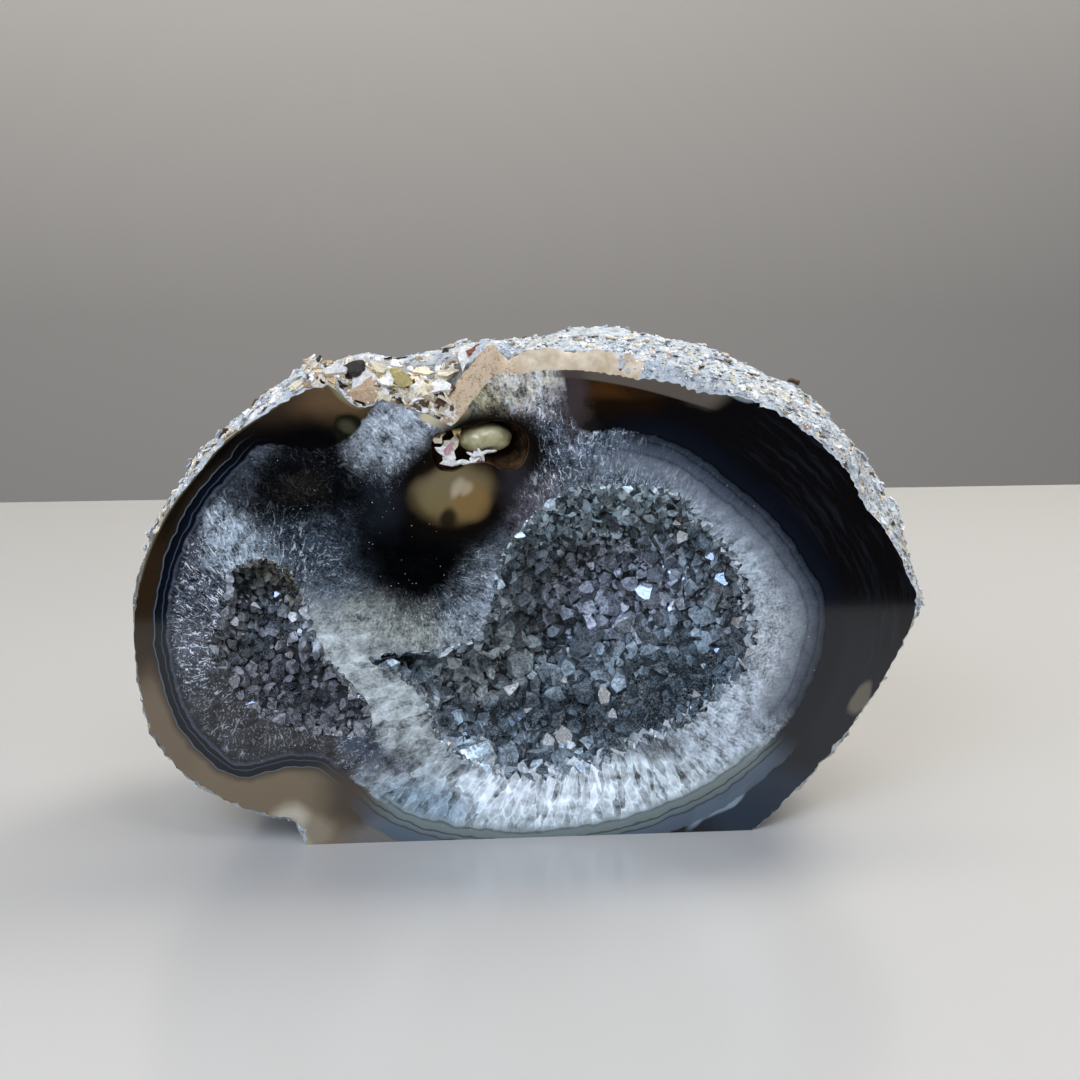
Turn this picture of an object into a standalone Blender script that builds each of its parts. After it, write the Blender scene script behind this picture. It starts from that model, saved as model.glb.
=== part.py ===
"""An agate geode, sawn through and polished on its front, with a sawn base that it stands on.

All lengths below are millimetres in the sketch frame: x to the right, z up from the base,
y back from the polished face. place() turns them to metres about the middle of the footprint.
"""

import math
import random

import bmesh
import bpy
from mathutils import Vector, noise

# Overall form
FACE_CENTRE = (0.0, 40.0)
DEPTH = 64.0
FULL_SECTION_Y = 16.0
BACK_SHIFT = (2.0, -3.0)
BACK_FULLNESS = 2.4
ROUNDING_Y = 26.0
ROUNDING_REACH = 25.0
LUMP_HEIGHT = 1.8
LUMP_SIZE = 15.0
KNOB_HEIGHT = 1.1
KNOB_SIZE = 6.0
BACK_REACH = 60.0
NOTCH_ANGLE = 114.0
NOTCH_HALF_ANGLE = 24.0
NOTCH_ROUGHNESS = 3.0
NOTCH_GRAIN = 4.5
NOTCH_REACH_Y = 20.0
SEGMENTS = 84
SECTION_Y = (0.0, 1.4, 4.0, 7.0, 11.0, 16.0, 21.0, 26.5, 32.0, 37.5, 43.0, 48.0, 52.5, 56.5, 59.8, 62.3)
MIDDLE_X = 0.93
MIDDLE_Y = 32.0

# Sawn outline of the nodule, anticlockwise from the right corner, with its uncut underside
OUTLINE = (
    (67.0, 40.0), (65.0, 45.6), (61.6, 52.2), (57.2, 57.6), (54.4, 63.0), (49.3, 68.6), (43.3, 73.0),
    (36.5, 76.6), (28.0, 79.5), (18.0, 82.3), (8.0, 84.0), (-0.5, 84.1), (-5.5, 82.3), (-10.0, 77.3),
    (-13.0, 73.2), (-17.5, 74.6), (-22.0, 76.0), (-27.0, 77.6), (-31.5, 79.8), (-37.8, 78.6), (-42.6, 75.8),
    (-50.1, 70.7), (-55.2, 65.2), (-60.3, 58.6), (-64.4, 50.2), (-66.6, 40.0), (-66.3, 30.8), (-64.8, 21.6),
    (-61.0, 14.8), (-55.4, 10.0), (-49.5, 6.4), (-44.4, 4.8), (-41.0, 4.0), (-39.2, 0.2), (-36.5, -4.5),
    (-28.0, -8.5), (-12.0, -11.0), (10.0, -11.5), (30.0, -7.5), (39.4, 0.0), (45.4, 5.5), (51.4, 12.3),
    (55.8, 18.0), (60.6, 25.2), (64.6, 33.0),
)
# How far the nodule swells out behind the saw cut: angle in degrees, swelling
SWELL = (
    (0, 2.5), (15, 4.9), (45, 4.9), (68, 3.2), (84, 1.6), (97, 1.8), (104, 2.8), (113, 2.0),
    (126, 5.2), (137, 3.0), (150, 1.0), (165, 0.2), (180, -0.5), (210, -1.5), (240, 0.0), (300, 0.0),
    (330, -0.5), (348, 0.0),
)
# Width of the ground edge round the face: angle in degrees, width
EDGE_WIDTH = ((0, 0.3), (40, 0.4), (56, 1.6), (72, 2.8), (92, 3.2), (100, 1.0), (115, 0.4), (240, 0.3))

# The two crystal hollows: mouth on the face, middle, depth
MAIN_MOUTH = (
    (38.6, 34.4), (37.8, 41.4), (35.2, 48.5), (29.6, 55.5), (26.0, 59.8), (18.2, 61.6), (8.1, 61.6),
    (2.4, 58.9), (-2.0, 54.3), (-5.6, 48.4), (-6.8, 41.6), (-9.5, 36.2), (-15.5, 34.2), (-22.4, 33.2),
    (-20.6, 28.6), (-18.2, 25.0), (-16.6, 19.0), (-12.2, 14.2), (-5.5, 11.2), (1.4, 10.4),
    (5.8, 12.6), (11.9, 13.3), (18.9, 15.8), (24.9, 18.3), (31.9, 23.6), (37.0, 29.3),
)
MAIN_MIDDLE = (9.0, 36.0)
MAIN_DEPTH = 27.0
SIDE_MOUTH = (
    (-27.4, 23.6), (-31.4, 29.4), (-35.6, 35.6), (-37.4, 41.6), (-39.8, 47.6), (-44.8, 50.3),
    (-50.0, 48.4), (-51.0, 45.1), (-51.8, 40.9), (-54.0, 35.8), (-52.4, 30.2), (-47.8, 24.8),
    (-39.3, 20.6), (-29.3, 19.2),
)
SIDE_MIDDLE = (-43.0, 33.5)
SIDE_DEPTH = 13.0
# Share of the mouth's width at each share of the depth
BOWL = ((0.0, 1.0), (0.14, 1.03), (0.32, 1.0), (0.52, 0.9), (0.70, 0.74), (0.84, 0.54), (0.94, 0.32))
BOWL_SEGMENTS = 40
MOUTH_LIP = 2.0
CLEARANCE = 0.35
LINING = 1.5
RECESS = 0.3
MOUTH_GROWTH = 2.0
FRONT_REACH = 9.0

# The crystals: lattice spacing of the wall, with a tip at every third spot, and heights in spacings
LATTICE = 1.9
LATTICE_SHIFT = 0.26
TIP_HEIGHT = (0.5, 2.1)
TIP_LEAN = 0.3
VALLEY_DEPTH = 0.15

# Broken places: middle x, y, z, half sizes, and how rough
NOTCH_BREAKS = (
    ("notch_break_left", (-26.5, -1.2, 80.2), (7.5, 5.4, 4.2), 0.6),
    ("notch_break_right", (-14.5, -1.0, 76.0), (4.8, 6.5, 4.6), 0.6),
)
NODULE_PIT = ("nodule_pit", (-1.2, -0.6, 69.8), (3.6, 3.4, 3.0), 0.5)


def clear_scene():
    for obj in list(bpy.data.objects):
        bpy.data.objects.remove(obj)


def new_collection(name):
    collection = bpy.data.collections.new(name)
    bpy.context.scene.collection.children.link(collection)
    return collection


def place(point):
    """Millimetres in the sketch frame to metres in the part's frame."""
    x, y, z = point
    return Vector((x - MIDDLE_X, y - MIDDLE_Y, z)) / 1000


def closed_curve(points, steps=12):
    """A smooth closed curve through the points (Catmull-Rom)."""
    count = len(points)
    curve = []
    for i in range(count):
        a, b, c, d = (Vector(points[(i + k) % count]) for k in (-1, 0, 1, 2))
        for step in range(steps):
            t = step / steps
            bend = (2 * a - 5 * b + 4 * c - d) * t**2 + (3 * b - a - 3 * c + d) * t**3
            curve.append(0.5 * (2 * b + (c - a) * t + bend))
    return curve


def around(pairs, angle):
    """Value at an angle in degrees, from (angle, value) pairs that go once round."""
    angle %= 360
    wrapped = list(pairs) + [(pairs[0][0] + 360, pairs[0][1])]
    for (a0, v0), (a1, v1) in zip(wrapped, wrapped[1:]):
        if a0 <= angle <= a1:
            share = (angle - a0) / (a1 - a0)
            return v0 + (v1 - v0) * share * share * (3 - 2 * share)
    return wrapped[0][1]


def radii(points, middle, count, growth=0.0):
    """Distance from the middle to the closed curve, at evenly spaced angles, plus a growth."""
    polar = []
    for point in closed_curve(points):
        offset = point - Vector(middle)
        polar.append((math.degrees(math.atan2(offset.y, offset.x)) % 360, offset.length))
    polar.sort()
    polar = [(polar[-1][0] - 360, polar[-1][1])] + polar + [(polar[0][0] + 360, polar[0][1])]
    found = []
    for i in range(count):
        angle = 360 * i / count
        for (a0, r0), (a1, r1) in zip(polar, polar[1:]):
            if a0 <= angle <= a1:
                found.append(growth + r0 + (r1 - r0) * (angle - a0) / max(a1 - a0, 1e-9))
                break
    return found


def smoothed(values, reach):
    """Values round a closed ring, averaged over neighbours within the reach in degrees."""
    count = len(values)
    span = round(reach * count / 360)
    near = range(-span, span + 1)
    return [sum(values[(i + k) % count] for k in near) / len(near) for i in range(count)]


def smooth_share(value, low, high):
    share = min(1.0, max(0.0, (value - low) / (high - low)))
    return share * share * (3 - 2 * share)


def lumps(point, size, seed):
    return noise.noise(Vector(point) / size + Vector((seed, seed * 1.7, -seed)))


def loft(name, rings, tip, collection):
    """A closed solid through rings of points, with a flat front and a tip at the back."""
    bm = bmesh.new()
    rows = [[bm.verts.new(place(p)) for p in ring] for ring in rings]
    end = bm.verts.new(place(tip))
    count = len(rows[0])
    bm.faces.new(rows[0])
    for near, far in zip(rows, rows[1:]):
        for i in range(count):
            j = (i + 1) % count
            bm.faces.new((near[j], near[i], far[i], far[j]))
    for i in range(count):
        bm.faces.new((rows[-1][(i + 1) % count], rows[-1][i], end))
    bmesh.ops.recalc_face_normals(bm, faces=bm.faces)
    return mesh_object(name, bm, collection)


def mesh_object(name, bm, collection):
    mesh = bpy.data.meshes.new(name)
    bm.to_mesh(mesh)
    bm.free()
    obj = bpy.data.objects.new(name, mesh)
    collection.objects.link(obj)
    return obj


def as_cutter(obj):
    obj.hide_render = True
    obj.display_type = "WIRE"
    return obj


def boolean(obj, other, operation):
    modifier = obj.modifiers.new(f"{operation.lower()} {other.name}", "BOOLEAN")
    modifier.operation = operation
    modifier.object = other
    return modifier


def nodule(collection):
    """The whole nodule behind the saw cut, before its base is sawn."""
    face = radii(OUTLINE, FACE_CENTRE, SEGMENTS)
    rounder = smoothed(face, ROUNDING_REACH)
    roundest = smoothed(rounder, BACK_REACH)
    heart = Vector((FACE_CENTRE[0], FULL_SECTION_Y, FACE_CENTRE[1]))
    rings = []
    for y in SECTION_Y:
        behind = max(0.0, y - FULL_SECTION_Y) / (DEPTH - FULL_SECTION_Y)
        size = math.sqrt(max(0.0, 1 - behind**BACK_FULLNESS))
        swell = math.sin(math.pi / 2 * min(1.0, y / FULL_SECTION_Y))
        share = y / DEPTH
        ring = []
        for i in range(SEGMENTS):
            degrees = 360 * i / SEGMENTS
            angle = math.radians(degrees)
            radius = face[i] + (rounder[i] - face[i]) * smooth_share(y, 0, ROUNDING_Y)
            radius += (roundest[i] - radius) * smooth_share(y, FULL_SECTION_Y, DEPTH)
            radius += around(SWELL, degrees) * swell * (1 - smooth_share(y, ROUNDING_Y, DEPTH))
            if y == 0:
                radius -= around(EDGE_WIDTH, degrees)
            radius *= size
            x = FACE_CENTRE[0] + BACK_SHIFT[0] * share + radius * math.cos(angle)
            z = FACE_CENTRE[1] + BACK_SHIFT[1] * share + radius * math.sin(angle)
            spot = Vector((x, y, z))
            out = spot - heart
            out.y *= smooth_share(y, FULL_SECTION_Y, DEPTH - 20)
            rough = LUMP_HEIGHT * lumps(spot, LUMP_SIZE, 3.1) + KNOB_HEIGHT * lumps(spot, KNOB_SIZE, 8.4)
            rough *= smooth_share(y, 2, 10) * smooth_share(size, 0, 0.8)
            rough += NOTCH_ROUGHNESS * lumps(spot, NOTCH_GRAIN, 6.6) * notch_share(degrees, y)
            ring.append(spot + out.normalized() * rough)
        rings.append(ring)
    tip = (FACE_CENTRE[0] + BACK_SHIFT[0], DEPTH, FACE_CENTRE[1] + BACK_SHIFT[1])
    return loft("agate_stone", rings, tip, collection)


def notch_share(degrees, y):
    """How rough the rind is: 1 in the broken notch at the top front, 0 away from it."""
    beside = smooth_share(NOTCH_HALF_ANGLE - abs(degrees - NOTCH_ANGLE), 0, NOTCH_HALF_ANGLE / 2)
    return beside * smooth_share(y, 0.5, 2) * (1 - smooth_share(y, NOTCH_REACH_Y / 2, NOTCH_REACH_Y))


def base_saw(collection):
    """The block that the sawn base takes away."""
    bm = bmesh.new()
    bmesh.ops.create_cube(bm, size=0.2)
    bmesh.ops.translate(bm, verts=bm.verts, vec=(0, 0, -0.1))
    return as_cutter(mesh_object("base_saw", bm, collection))


def bowl(name, mouth, middle, depth, inset, front, collection):
    """A hollow's space, its wall moved in by the inset, from the front plane back."""
    mouth_radii = radii(mouth, middle, BOWL_SEGMENTS, MOUTH_GROWTH)
    rings = []
    for share, width in ((None, 1.0),) + BOWL:
        y = front if share is None else share * (depth - inset)
        if share is not None and y <= front:
            continue
        ring = []
        for i in range(BOWL_SEGMENTS):
            angle = 2 * math.pi * i / BOWL_SEGMENTS
            radius = max(0.5, (mouth_radii[i] - inset) * width)
            ring.append((middle[0] + radius * math.cos(angle), y, middle[1] + radius * math.sin(angle)))
        rings.append(ring)
    return loft(name, rings, (middle[0], depth - inset, middle[1]), collection)


def broken_place(name, middle, half_sizes, roughness, collection):
    """A rough bite out of the edge, as a cutter."""
    bm = bmesh.new()
    bmesh.ops.create_icosphere(bm, subdivisions=2, radius=1.0)
    for vert in bm.verts:
        vert.co *= 1 + roughness * lumps(vert.co, 0.7, 2.3)
        x, y, z = (m + h * c for m, h, c in zip(middle, half_sizes, vert.co))
        vert.co = place((x, y, z))
    return as_cutter(mesh_object(name, bm, collection))


def unrolled(radius, depth):
    """The bowl's profile from its deepest point out: distance along the wall, share of depth, width."""
    steps = 60
    trace = [(0.0, 1.0, 0.0)]
    for step in range(1, steps + 1):
        share = 1 - step / steps
        width = profile_width(share)
        _, last_share, last_width = trace[-1]
        run = math.hypot((last_share - share) * depth, (width - last_width) * radius)
        trace.append((trace[-1][0] + run, share, width))
    return trace


def profile_width(share):
    """Share of the mouth's width at a share of the depth."""
    for (s0, w0), (s1, w1) in zip(BOWL, BOWL[1:] + ((1.0, 0.0),)):
        if s0 <= share <= s1:
            return w0 + (w1 - w0) * (share - s0) / (s1 - s0)
    return 0.0


def lining_spot(mouth_radii, middle, depth, run, angle):
    """A spot on the lining, a run along the wall from its deepest point, and how far past the mouth it is."""
    turn = (angle / (2 * math.pi) % 1.0) * BOWL_SEGMENTS
    i = int(turn) % BOWL_SEGMENTS
    radius = mouth_radii[i] + (mouth_radii[(i + 1) % BOWL_SEGMENTS] - mouth_radii[i]) * (turn - int(turn))
    radius -= CLEARANCE + LINING
    floor = depth - CLEARANCE - LINING
    trace = unrolled(radius, floor)
    past = run - trace[-1][0]
    if past > 0:
        share, width = -past / floor, 1.0
    else:
        for (run0, share0, width0), (run1, share1, width1) in zip(trace, trace[1:]):
            if run <= run1:
                part = (run - run0) / max(run1 - run0, 1e-9)
                share = share0 + (share1 - share0) * part
                width = width0 + (width1 - width0) * part
                break
    out = radius * width
    return Vector((middle[0] + out * math.cos(angle), share * floor, middle[1] + out * math.sin(angle))), past


def crystal_space(name, mouth, middle, depth, seed, collection):
    """The space inside a crust: a bowl whose wall is a field of six-sided pyramids.

    The wall is unrolled to a triangular lattice. Every third spot is a tip with six low spots round it.
    """
    draw = random.Random(seed)
    mouth_radii = radii(mouth, middle, BOWL_SEGMENTS, MOUTH_GROWTH)
    bm = bmesh.new()
    spots = {}
    reach = int(2.2 * max(mouth_radii) / LATTICE)
    for row in range(-reach, reach + 1):
        for column in range(-reach, reach + 1):
            x = (column + row / 2 + draw.uniform(-LATTICE_SHIFT, LATTICE_SHIFT)) * LATTICE
            z = (row * math.sqrt(3) / 2 + draw.uniform(-LATTICE_SHIFT, LATTICE_SHIFT)) * LATTICE
            here, past = lining_spot(mouth_radii, middle, depth, math.hypot(x, z), math.atan2(z, x))
            if past < MOUTH_LIP + 2 * LATTICE:
                spots[row, column] = bm.verts.new(place(here))
    for (row, column), vert in spots.items():
        for others in (((row, column + 1), (row + 1, column)), ((row + 1, column), (row + 1, column - 1))):
            if all(key in spots for key in others):
                bm.faces.new((vert, spots[others[0]], spots[others[1]]))
    bm.normal_update()
    raise_tips(bm, spots, draw)
    close_front(bm)
    return as_cutter(mesh_object(name, bm, collection))


def raise_tips(bm, spots, draw):
    """Moves every third spot of the lattice in from the wall, as far as its neighbours leave it room."""
    moves = []
    for (row, column), vert in spots.items():
        room = [edge.calc_length() for edge in vert.link_edges]
        if not room:
            continue
        tip = (column - row) % 3 == 0
        height = draw.uniform(*TIP_HEIGHT) if tip else draw.uniform(-VALLEY_DEPTH, VALLEY_DEPTH)
        lean = Vector([draw.uniform(-TIP_LEAN, TIP_LEAN) for _ in range(3)])
        moves.append((vert, (vert.normal + lean) * height * min(room)))
    for vert, move in moves:
        vert.co += move


def close_front(bm):
    """Carries the open rim of a crystal space straight out of the mouth and closes it."""
    loose = [vert for vert in bm.verts if not vert.link_faces]
    bmesh.ops.delete(bm, geom=loose, context="VERTS")
    rim = [edge for edge in bm.edges if edge.is_boundary]
    carried = bmesh.ops.extrude_edge_only(bm, edges=rim)["geom"]
    front = place((0, -FRONT_REACH, 0)).y
    for vert in carried:
        if isinstance(vert, bmesh.types.BMVert):
            vert.co.y = front
    bmesh.ops.holes_fill(bm, edges=[edge for edge in bm.edges if edge.is_boundary], sides=0)
    bmesh.ops.recalc_face_normals(bm, faces=bm.faces)


def crystal_crust(name, mouth, middle, depth, seed, collection, cutters):
    """The crust of quartz crystals that lines one hollow, cut just behind the polished face."""
    crust = bowl(name, mouth, middle, depth, CLEARANCE, RECESS, collection)
    boolean(crust, crystal_space(f"{name}_space", mouth, middle, depth, seed, cutters), "DIFFERENCE")
    return crust


def material(name, colour, roughness, transmission=0.0):
    made = bpy.data.materials.new(name)
    made.use_nodes = True
    shader = made.node_tree.nodes["Principled BSDF"]
    shader.inputs["Base Color"].default_value = (*colour, 1)
    shader.inputs["Roughness"].default_value = roughness
    shader.inputs["Metallic"].default_value = 0.0
    shader.inputs["IOR"].default_value = 1.54
    shader.inputs["Transmission Weight"].default_value = transmission
    return made


def build():
    clear_scene()
    part = new_collection("agate geode")
    cutters = new_collection("cutters")
    agate = material("polished agate and rind", (0.09, 0.09, 0.11), 0.25)
    quartz = material("smoky quartz druse", (0.28, 0.31, 0.36), 0.1, 0.3)

    stone = nodule(part)
    boolean(stone, base_saw(cutters), "DIFFERENCE")
    for label, mouth, middle, depth in (
        ("main_hollow", MAIN_MOUTH, MAIN_MIDDLE, MAIN_DEPTH),
        ("side_hollow", SIDE_MOUTH, SIDE_MIDDLE, SIDE_DEPTH),
    ):
        boolean(stone, as_cutter(bowl(label, mouth, middle, depth, 0.0, -MOUTH_LIP, cutters)), "DIFFERENCE")
    for bite in NOTCH_BREAKS + (NODULE_PIT,):
        boolean(stone, broken_place(*bite, cutters), "DIFFERENCE")
    stone.data.materials.append(agate)

    main = crystal_crust("main_crystal_crust", MAIN_MOUTH, MAIN_MIDDLE, MAIN_DEPTH, 7, part, cutters)
    side = crystal_crust("side_crystal_crust", SIDE_MOUTH, SIDE_MIDDLE, SIDE_DEPTH, 11, part, cutters)
    for crust in (main, side):
        crust.data.materials.append(quartz)


build()
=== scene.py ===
import bisect
import math
import random

import bpy
from mathutils import Matrix, Vector, geometry, kdtree, noise


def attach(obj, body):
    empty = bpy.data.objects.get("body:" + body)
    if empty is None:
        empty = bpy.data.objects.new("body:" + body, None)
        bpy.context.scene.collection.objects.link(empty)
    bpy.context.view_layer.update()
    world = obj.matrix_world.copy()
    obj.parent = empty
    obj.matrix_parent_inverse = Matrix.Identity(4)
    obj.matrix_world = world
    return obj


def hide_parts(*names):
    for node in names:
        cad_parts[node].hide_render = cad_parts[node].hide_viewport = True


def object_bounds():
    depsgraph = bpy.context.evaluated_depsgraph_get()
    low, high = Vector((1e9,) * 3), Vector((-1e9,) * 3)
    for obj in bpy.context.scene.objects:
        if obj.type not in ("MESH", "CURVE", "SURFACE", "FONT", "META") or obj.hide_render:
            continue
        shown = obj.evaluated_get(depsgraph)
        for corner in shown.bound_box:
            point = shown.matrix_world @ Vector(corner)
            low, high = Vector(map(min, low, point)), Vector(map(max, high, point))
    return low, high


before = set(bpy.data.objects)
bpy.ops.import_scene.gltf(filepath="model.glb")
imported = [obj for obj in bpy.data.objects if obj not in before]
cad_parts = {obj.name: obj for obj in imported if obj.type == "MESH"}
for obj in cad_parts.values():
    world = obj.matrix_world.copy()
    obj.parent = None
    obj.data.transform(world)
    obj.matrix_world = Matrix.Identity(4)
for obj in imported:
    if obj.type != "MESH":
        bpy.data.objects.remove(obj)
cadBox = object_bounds()

# All lengths are millimetres in the sketch frame: x right, z up from the sawn base, y back from the
# polished face. place() turns them to metres in the part's frame, and inSketch() turns metres back.
middleX, middleY = 0.93, 32.0
millimetre = 0.001


def place(x, y, z):
    return Vector((x - middleX, y - middleY, z)) * millimetre


def inSketch(spot):
    return spot.x / millimetre + middleX, spot.y / millimetre + middleY, spot.z / millimetre


# outlines of the geode
nodule = {
    "faceCentre": (0.0, 40.0),
    "depth": 64.0,
    "fullSectionY": 16.0,
    "backShift": (2.0, -3.0),
    "backFullness": 2.4,
    "roundingY": 26.0,
    "roundingReach": 25.0,
    "backReach": 60.0,
    "lumps": ((1.8, 15.0, 3.1), (1.1, 6.0, 8.4)),  # height, size, seed
    "notch": {"angle": 114.0, "halfAngle": 24.0, "height": 3.0, "size": 4.5, "reachY": 20.0},
    "tongue": {"angles": (95.0, 98.5, 110.5, 113.0), "rise": 3.3, "slopeY": 2.0, "flatY": 5.0, "endY": 12.0},
    "turns": 640,
    "bevelDepth": 1.4,
    "skin": 0.0002,  # metres that the rind stays off the box's sides
    "outline": (
        (67.0, 40.0), (65.0, 45.6), (61.6, 52.2), (57.2, 57.6), (54.4, 63.0), (49.3, 68.6), (43.3, 73.0),
        (36.5, 76.6), (28.0, 79.5), (18.0, 82.3), (8.0, 84.0), (-0.5, 84.1), (-5.5, 82.3), (-10.0, 77.3),
        (-13.0, 73.2), (-17.5, 74.6), (-22.0, 76.0), (-25.2, 77.0), (-28.2, 75.8), (-31.0, 77.2), (-33.4, 79.6),
        (-37.8, 78.6),
        (-42.6, 75.8), (-50.1, 70.7), (-55.2, 65.2), (-60.3, 58.6), (-64.4, 50.2), (-66.6, 40.0),
        (-66.3, 30.8), (-64.8, 21.6), (-61.0, 14.8), (-55.4, 10.0), (-49.5, 6.4), (-44.4, 4.8),
        (-41.0, 4.0), (-39.2, 0.2), (-36.5, -4.5), (-28.0, -8.5), (-12.0, -11.0), (10.0, -11.5),
        (30.0, -7.5), (39.4, 0.0), (45.4, 5.5), (51.4, 12.3), (55.8, 18.0), (60.6, 25.2), (64.6, 33.0),
    ),
    # angle in degrees, swelling behind the saw cut
    "swell": (
        (0, 2.5), (15, 4.9), (45, 4.9), (68, 3.2), (84, 1.6), (97, 1.8), (104, 2.8), (113, 2.0), (126, 5.2),
        (137, 3.0), (150, 1.0), (165, 0.2), (180, -0.5), (210, -1.5), (240, 0.0), (300, 0.0), (330, -0.5),
        (348, 0.0),
    ),
    # angle in degrees, width of the ground edge
    "edgeWidth": ((0, 0.3), (40, 0.4), (56, 1.6), (72, 2.8), (92, 3.2), (100, 1.0), (115, 0.4), (240, 0.3)),
    # angle in degrees, how deep the edge is chipped
    "chips": (
        (0, 0.7), (12, 0.5), (25, 0.8), (55, 1.1), (70, 0.5), (84, 0.15), (98, 0.6), (125, 1.0), (150, 0.45),
        (180, 0.4), (205, 0.9), (225, 1.3), (245, 0.9), (300, 0.4), (330, 0.7),
    ),
}

# where the quartz meets the banded agate, on the polished face
quartzEdge = (
    (-23.6, 5.4), (-29.4, 10.5), (-36.1, 15.7), (-42.8, 15.9), (-49.6, 14.7), (-54.4, 18.3), (-58.4, 24.6),
    (-60.5, 33.3), (-60.5, 41.9), (-58.2, 51.2), (-53.8, 59.5), (-48.7, 65.3), (-44.2, 69.3), (-36.5, 68.6),
    (-30.3, 69.9), (-24.5, 76.6), (-15.1, 79.4), (-4.9, 86.0), (3.7, 84.4), (6.4, 74.1), (9.5, 70.6),
    (14.7, 71.2), (24.8, 68.3), (33.4, 62.3), (41.3, 55.3), (46.6, 48.2), (50.3, 41.2), (50.1, 32.3),
    (46.5, 22.6), (40.5, 15.5), (31.9, 8.5), (20.6, 3.4), (8.4, 0.7), (-3.8, 0.2), (-15.9, 2.3),
)

# the dark skin of the small nodule that the saw cut through, under the notch
noduleSkin = (
    (-19.5, 63.5), (-20.8, 59.8), (-17.8, 56.0), (-10.3, 55.0), (-6.4, 58.0), (-3.6, 62.3), (-0.6, 66.0),
    (-0.4, 69.5), (-4.0, 72.0), (-10.2, 72.0), (-14.5, 69.0), (-17.0, 66.5),
)

hollows = {
    "main": {
        "mouth": (
            (38.6, 34.4), (37.8, 41.4), (35.2, 48.5), (29.6, 55.5), (26.0, 59.8), (18.2, 61.6), (8.1, 61.6),
            (2.4, 58.9), (-2.0, 54.3), (-5.6, 48.4), (-6.8, 41.6), (-9.5, 36.2), (-15.5, 34.2),
            (-27.2, 33.0), (-22.6, 29.6), (-18.2, 25.0), (-16.6, 19.0), (-12.2, 14.2), (-5.5, 11.2),
            (1.4, 10.2), (5.4, 11.0), (10.8, 11.3), (14.2, 13.4), (18.9, 15.8), (24.9, 18.3),
            (31.9, 23.6), (37.0, 29.3),
        ),
        "middle": (9.0, 36.0),
        "depth": 27.0,
        "seed": 21,
        # angle in degrees, height of the cut crystal teeth along the mouth
        "teeth": ((0, 1.0), (30, 1.6), (50, 1.2), (70, 0.7), (100, 0.5), (150, 0.4), (190, 0.5), (225, 1.1),
                  (260, 1.8), (300, 1.4), (335, 1.1)),
    },
    "side": {
        "mouth": (
            (-27.4, 23.6), (-31.4, 29.4), (-35.6, 35.6), (-37.4, 41.6), (-39.8, 47.6), (-44.8, 50.3),
            (-50.0, 48.4), (-51.0, 45.1), (-51.8, 40.9), (-54.0, 35.8), (-52.4, 30.2), (-47.8, 24.8),
            (-39.3, 20.6), (-29.3, 19.2),
        ),
        "middle": (-43.0, 33.5),
        "depth": 13.0,
        "seed": 22,
        "teeth": ((0, 0.5), (90, 0.7), (180, 0.8), (270, 0.5)),
    },
    # the glossy pit under the notch, where the small nodule's core broke out
    "pit": {
        "mouth": (
            (-13.2, 71.2), (-15.9, 70.4), (-16.4, 67.8), (-15.4, 65.2), (-13.0, 64.7), (-10.4, 65.8),
            (-7.4, 66.0), (-4.6, 64.8), (-2.1, 65.2), (-0.8, 67.6), (-1.0, 70.4), (-3.2, 72.2), (-6.6, 72.6),
            (-9.8, 71.9),
        ),
        "middle": (-8.4, 68.6),
        "depth": 7.0,
        "seed": 23,
        "growth": 0.0,
        "teeth": ((0, 0.12), (180, 0.12)),
    },
}
bowl = {
    "profile": ((0.0, 1.0), (0.14, 1.03), (0.32, 1.0), (0.52, 0.9), (0.70, 0.74), (0.84, 0.54), (0.94, 0.32),
                (1.0, 0.0)),
    "growth": 2.0,  # how much wider the hollow is than its mouth on the face
    "lining": 1.9,  # from the stone to the surface that the points stand on
}


def closedCurve(points, steps=12):
    curve = []
    count = len(points)
    for i in range(count):
        a, b, c, d = (Vector(points[(i + k) % count]) for k in (-1, 0, 1, 2))
        for step in range(steps):
            t = step / steps
            bend = (2 * a - 5 * b + 4 * c - d) * t**2 + (3 * b - a - 3 * c + d) * t**3
            curve.append(0.5 * (2 * b + (c - a) * t + bend))
    return curve


def around(pairs, angle):
    angle %= 360
    wrapped = list(pairs) + [(pairs[0][0] + 360, pairs[0][1])]
    for (a0, v0), (a1, v1) in zip(wrapped, wrapped[1:]):
        if a0 <= angle <= a1:
            share = (angle - a0) / (a1 - a0)
            return v0 + (v1 - v0) * share * share * (3 - 2 * share)
    return wrapped[0][1]


def radiiRound(points, middle, count, growth=0.0):
    polar = sorted(
        (degreesRound(*p, middle) % 360, (p - Vector(middle)).length) for p in closedCurve(points))
    polar = [(polar[-1][0] - 360, polar[-1][1])] + polar + [(polar[0][0] + 360, polar[0][1])]
    angles = [a for a, r in polar]
    found = []
    for i in range(count):
        angle = 360 * i / count
        k = bisect.bisect_right(angles, angle)
        (a0, r0), (a1, r1) = polar[k - 1], polar[k]
        found.append(growth + r0 + (r1 - r0) * (angle - a0) / max(a1 - a0, 1e-9))
    return found


def smoothedRound(values, reach):
    count = len(values)
    span = round(reach * count / 360)
    total = sum(values[k % count] for k in range(-span, span + 1))
    found = []
    for i in range(count):
        found.append(total / (2 * span + 1))
        total += values[(i + span + 1) % count] - values[(i - span) % count]
    return found


def smoothShare(value, low, high):
    share = min(1.0, max(0.0, (value - low) / (high - low)))
    return share * share * (3 - 2 * share)


def lumps(point, size, seed):
    return noise.noise(Vector(point) / size + Vector((seed, seed * 1.7, -seed)))


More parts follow.
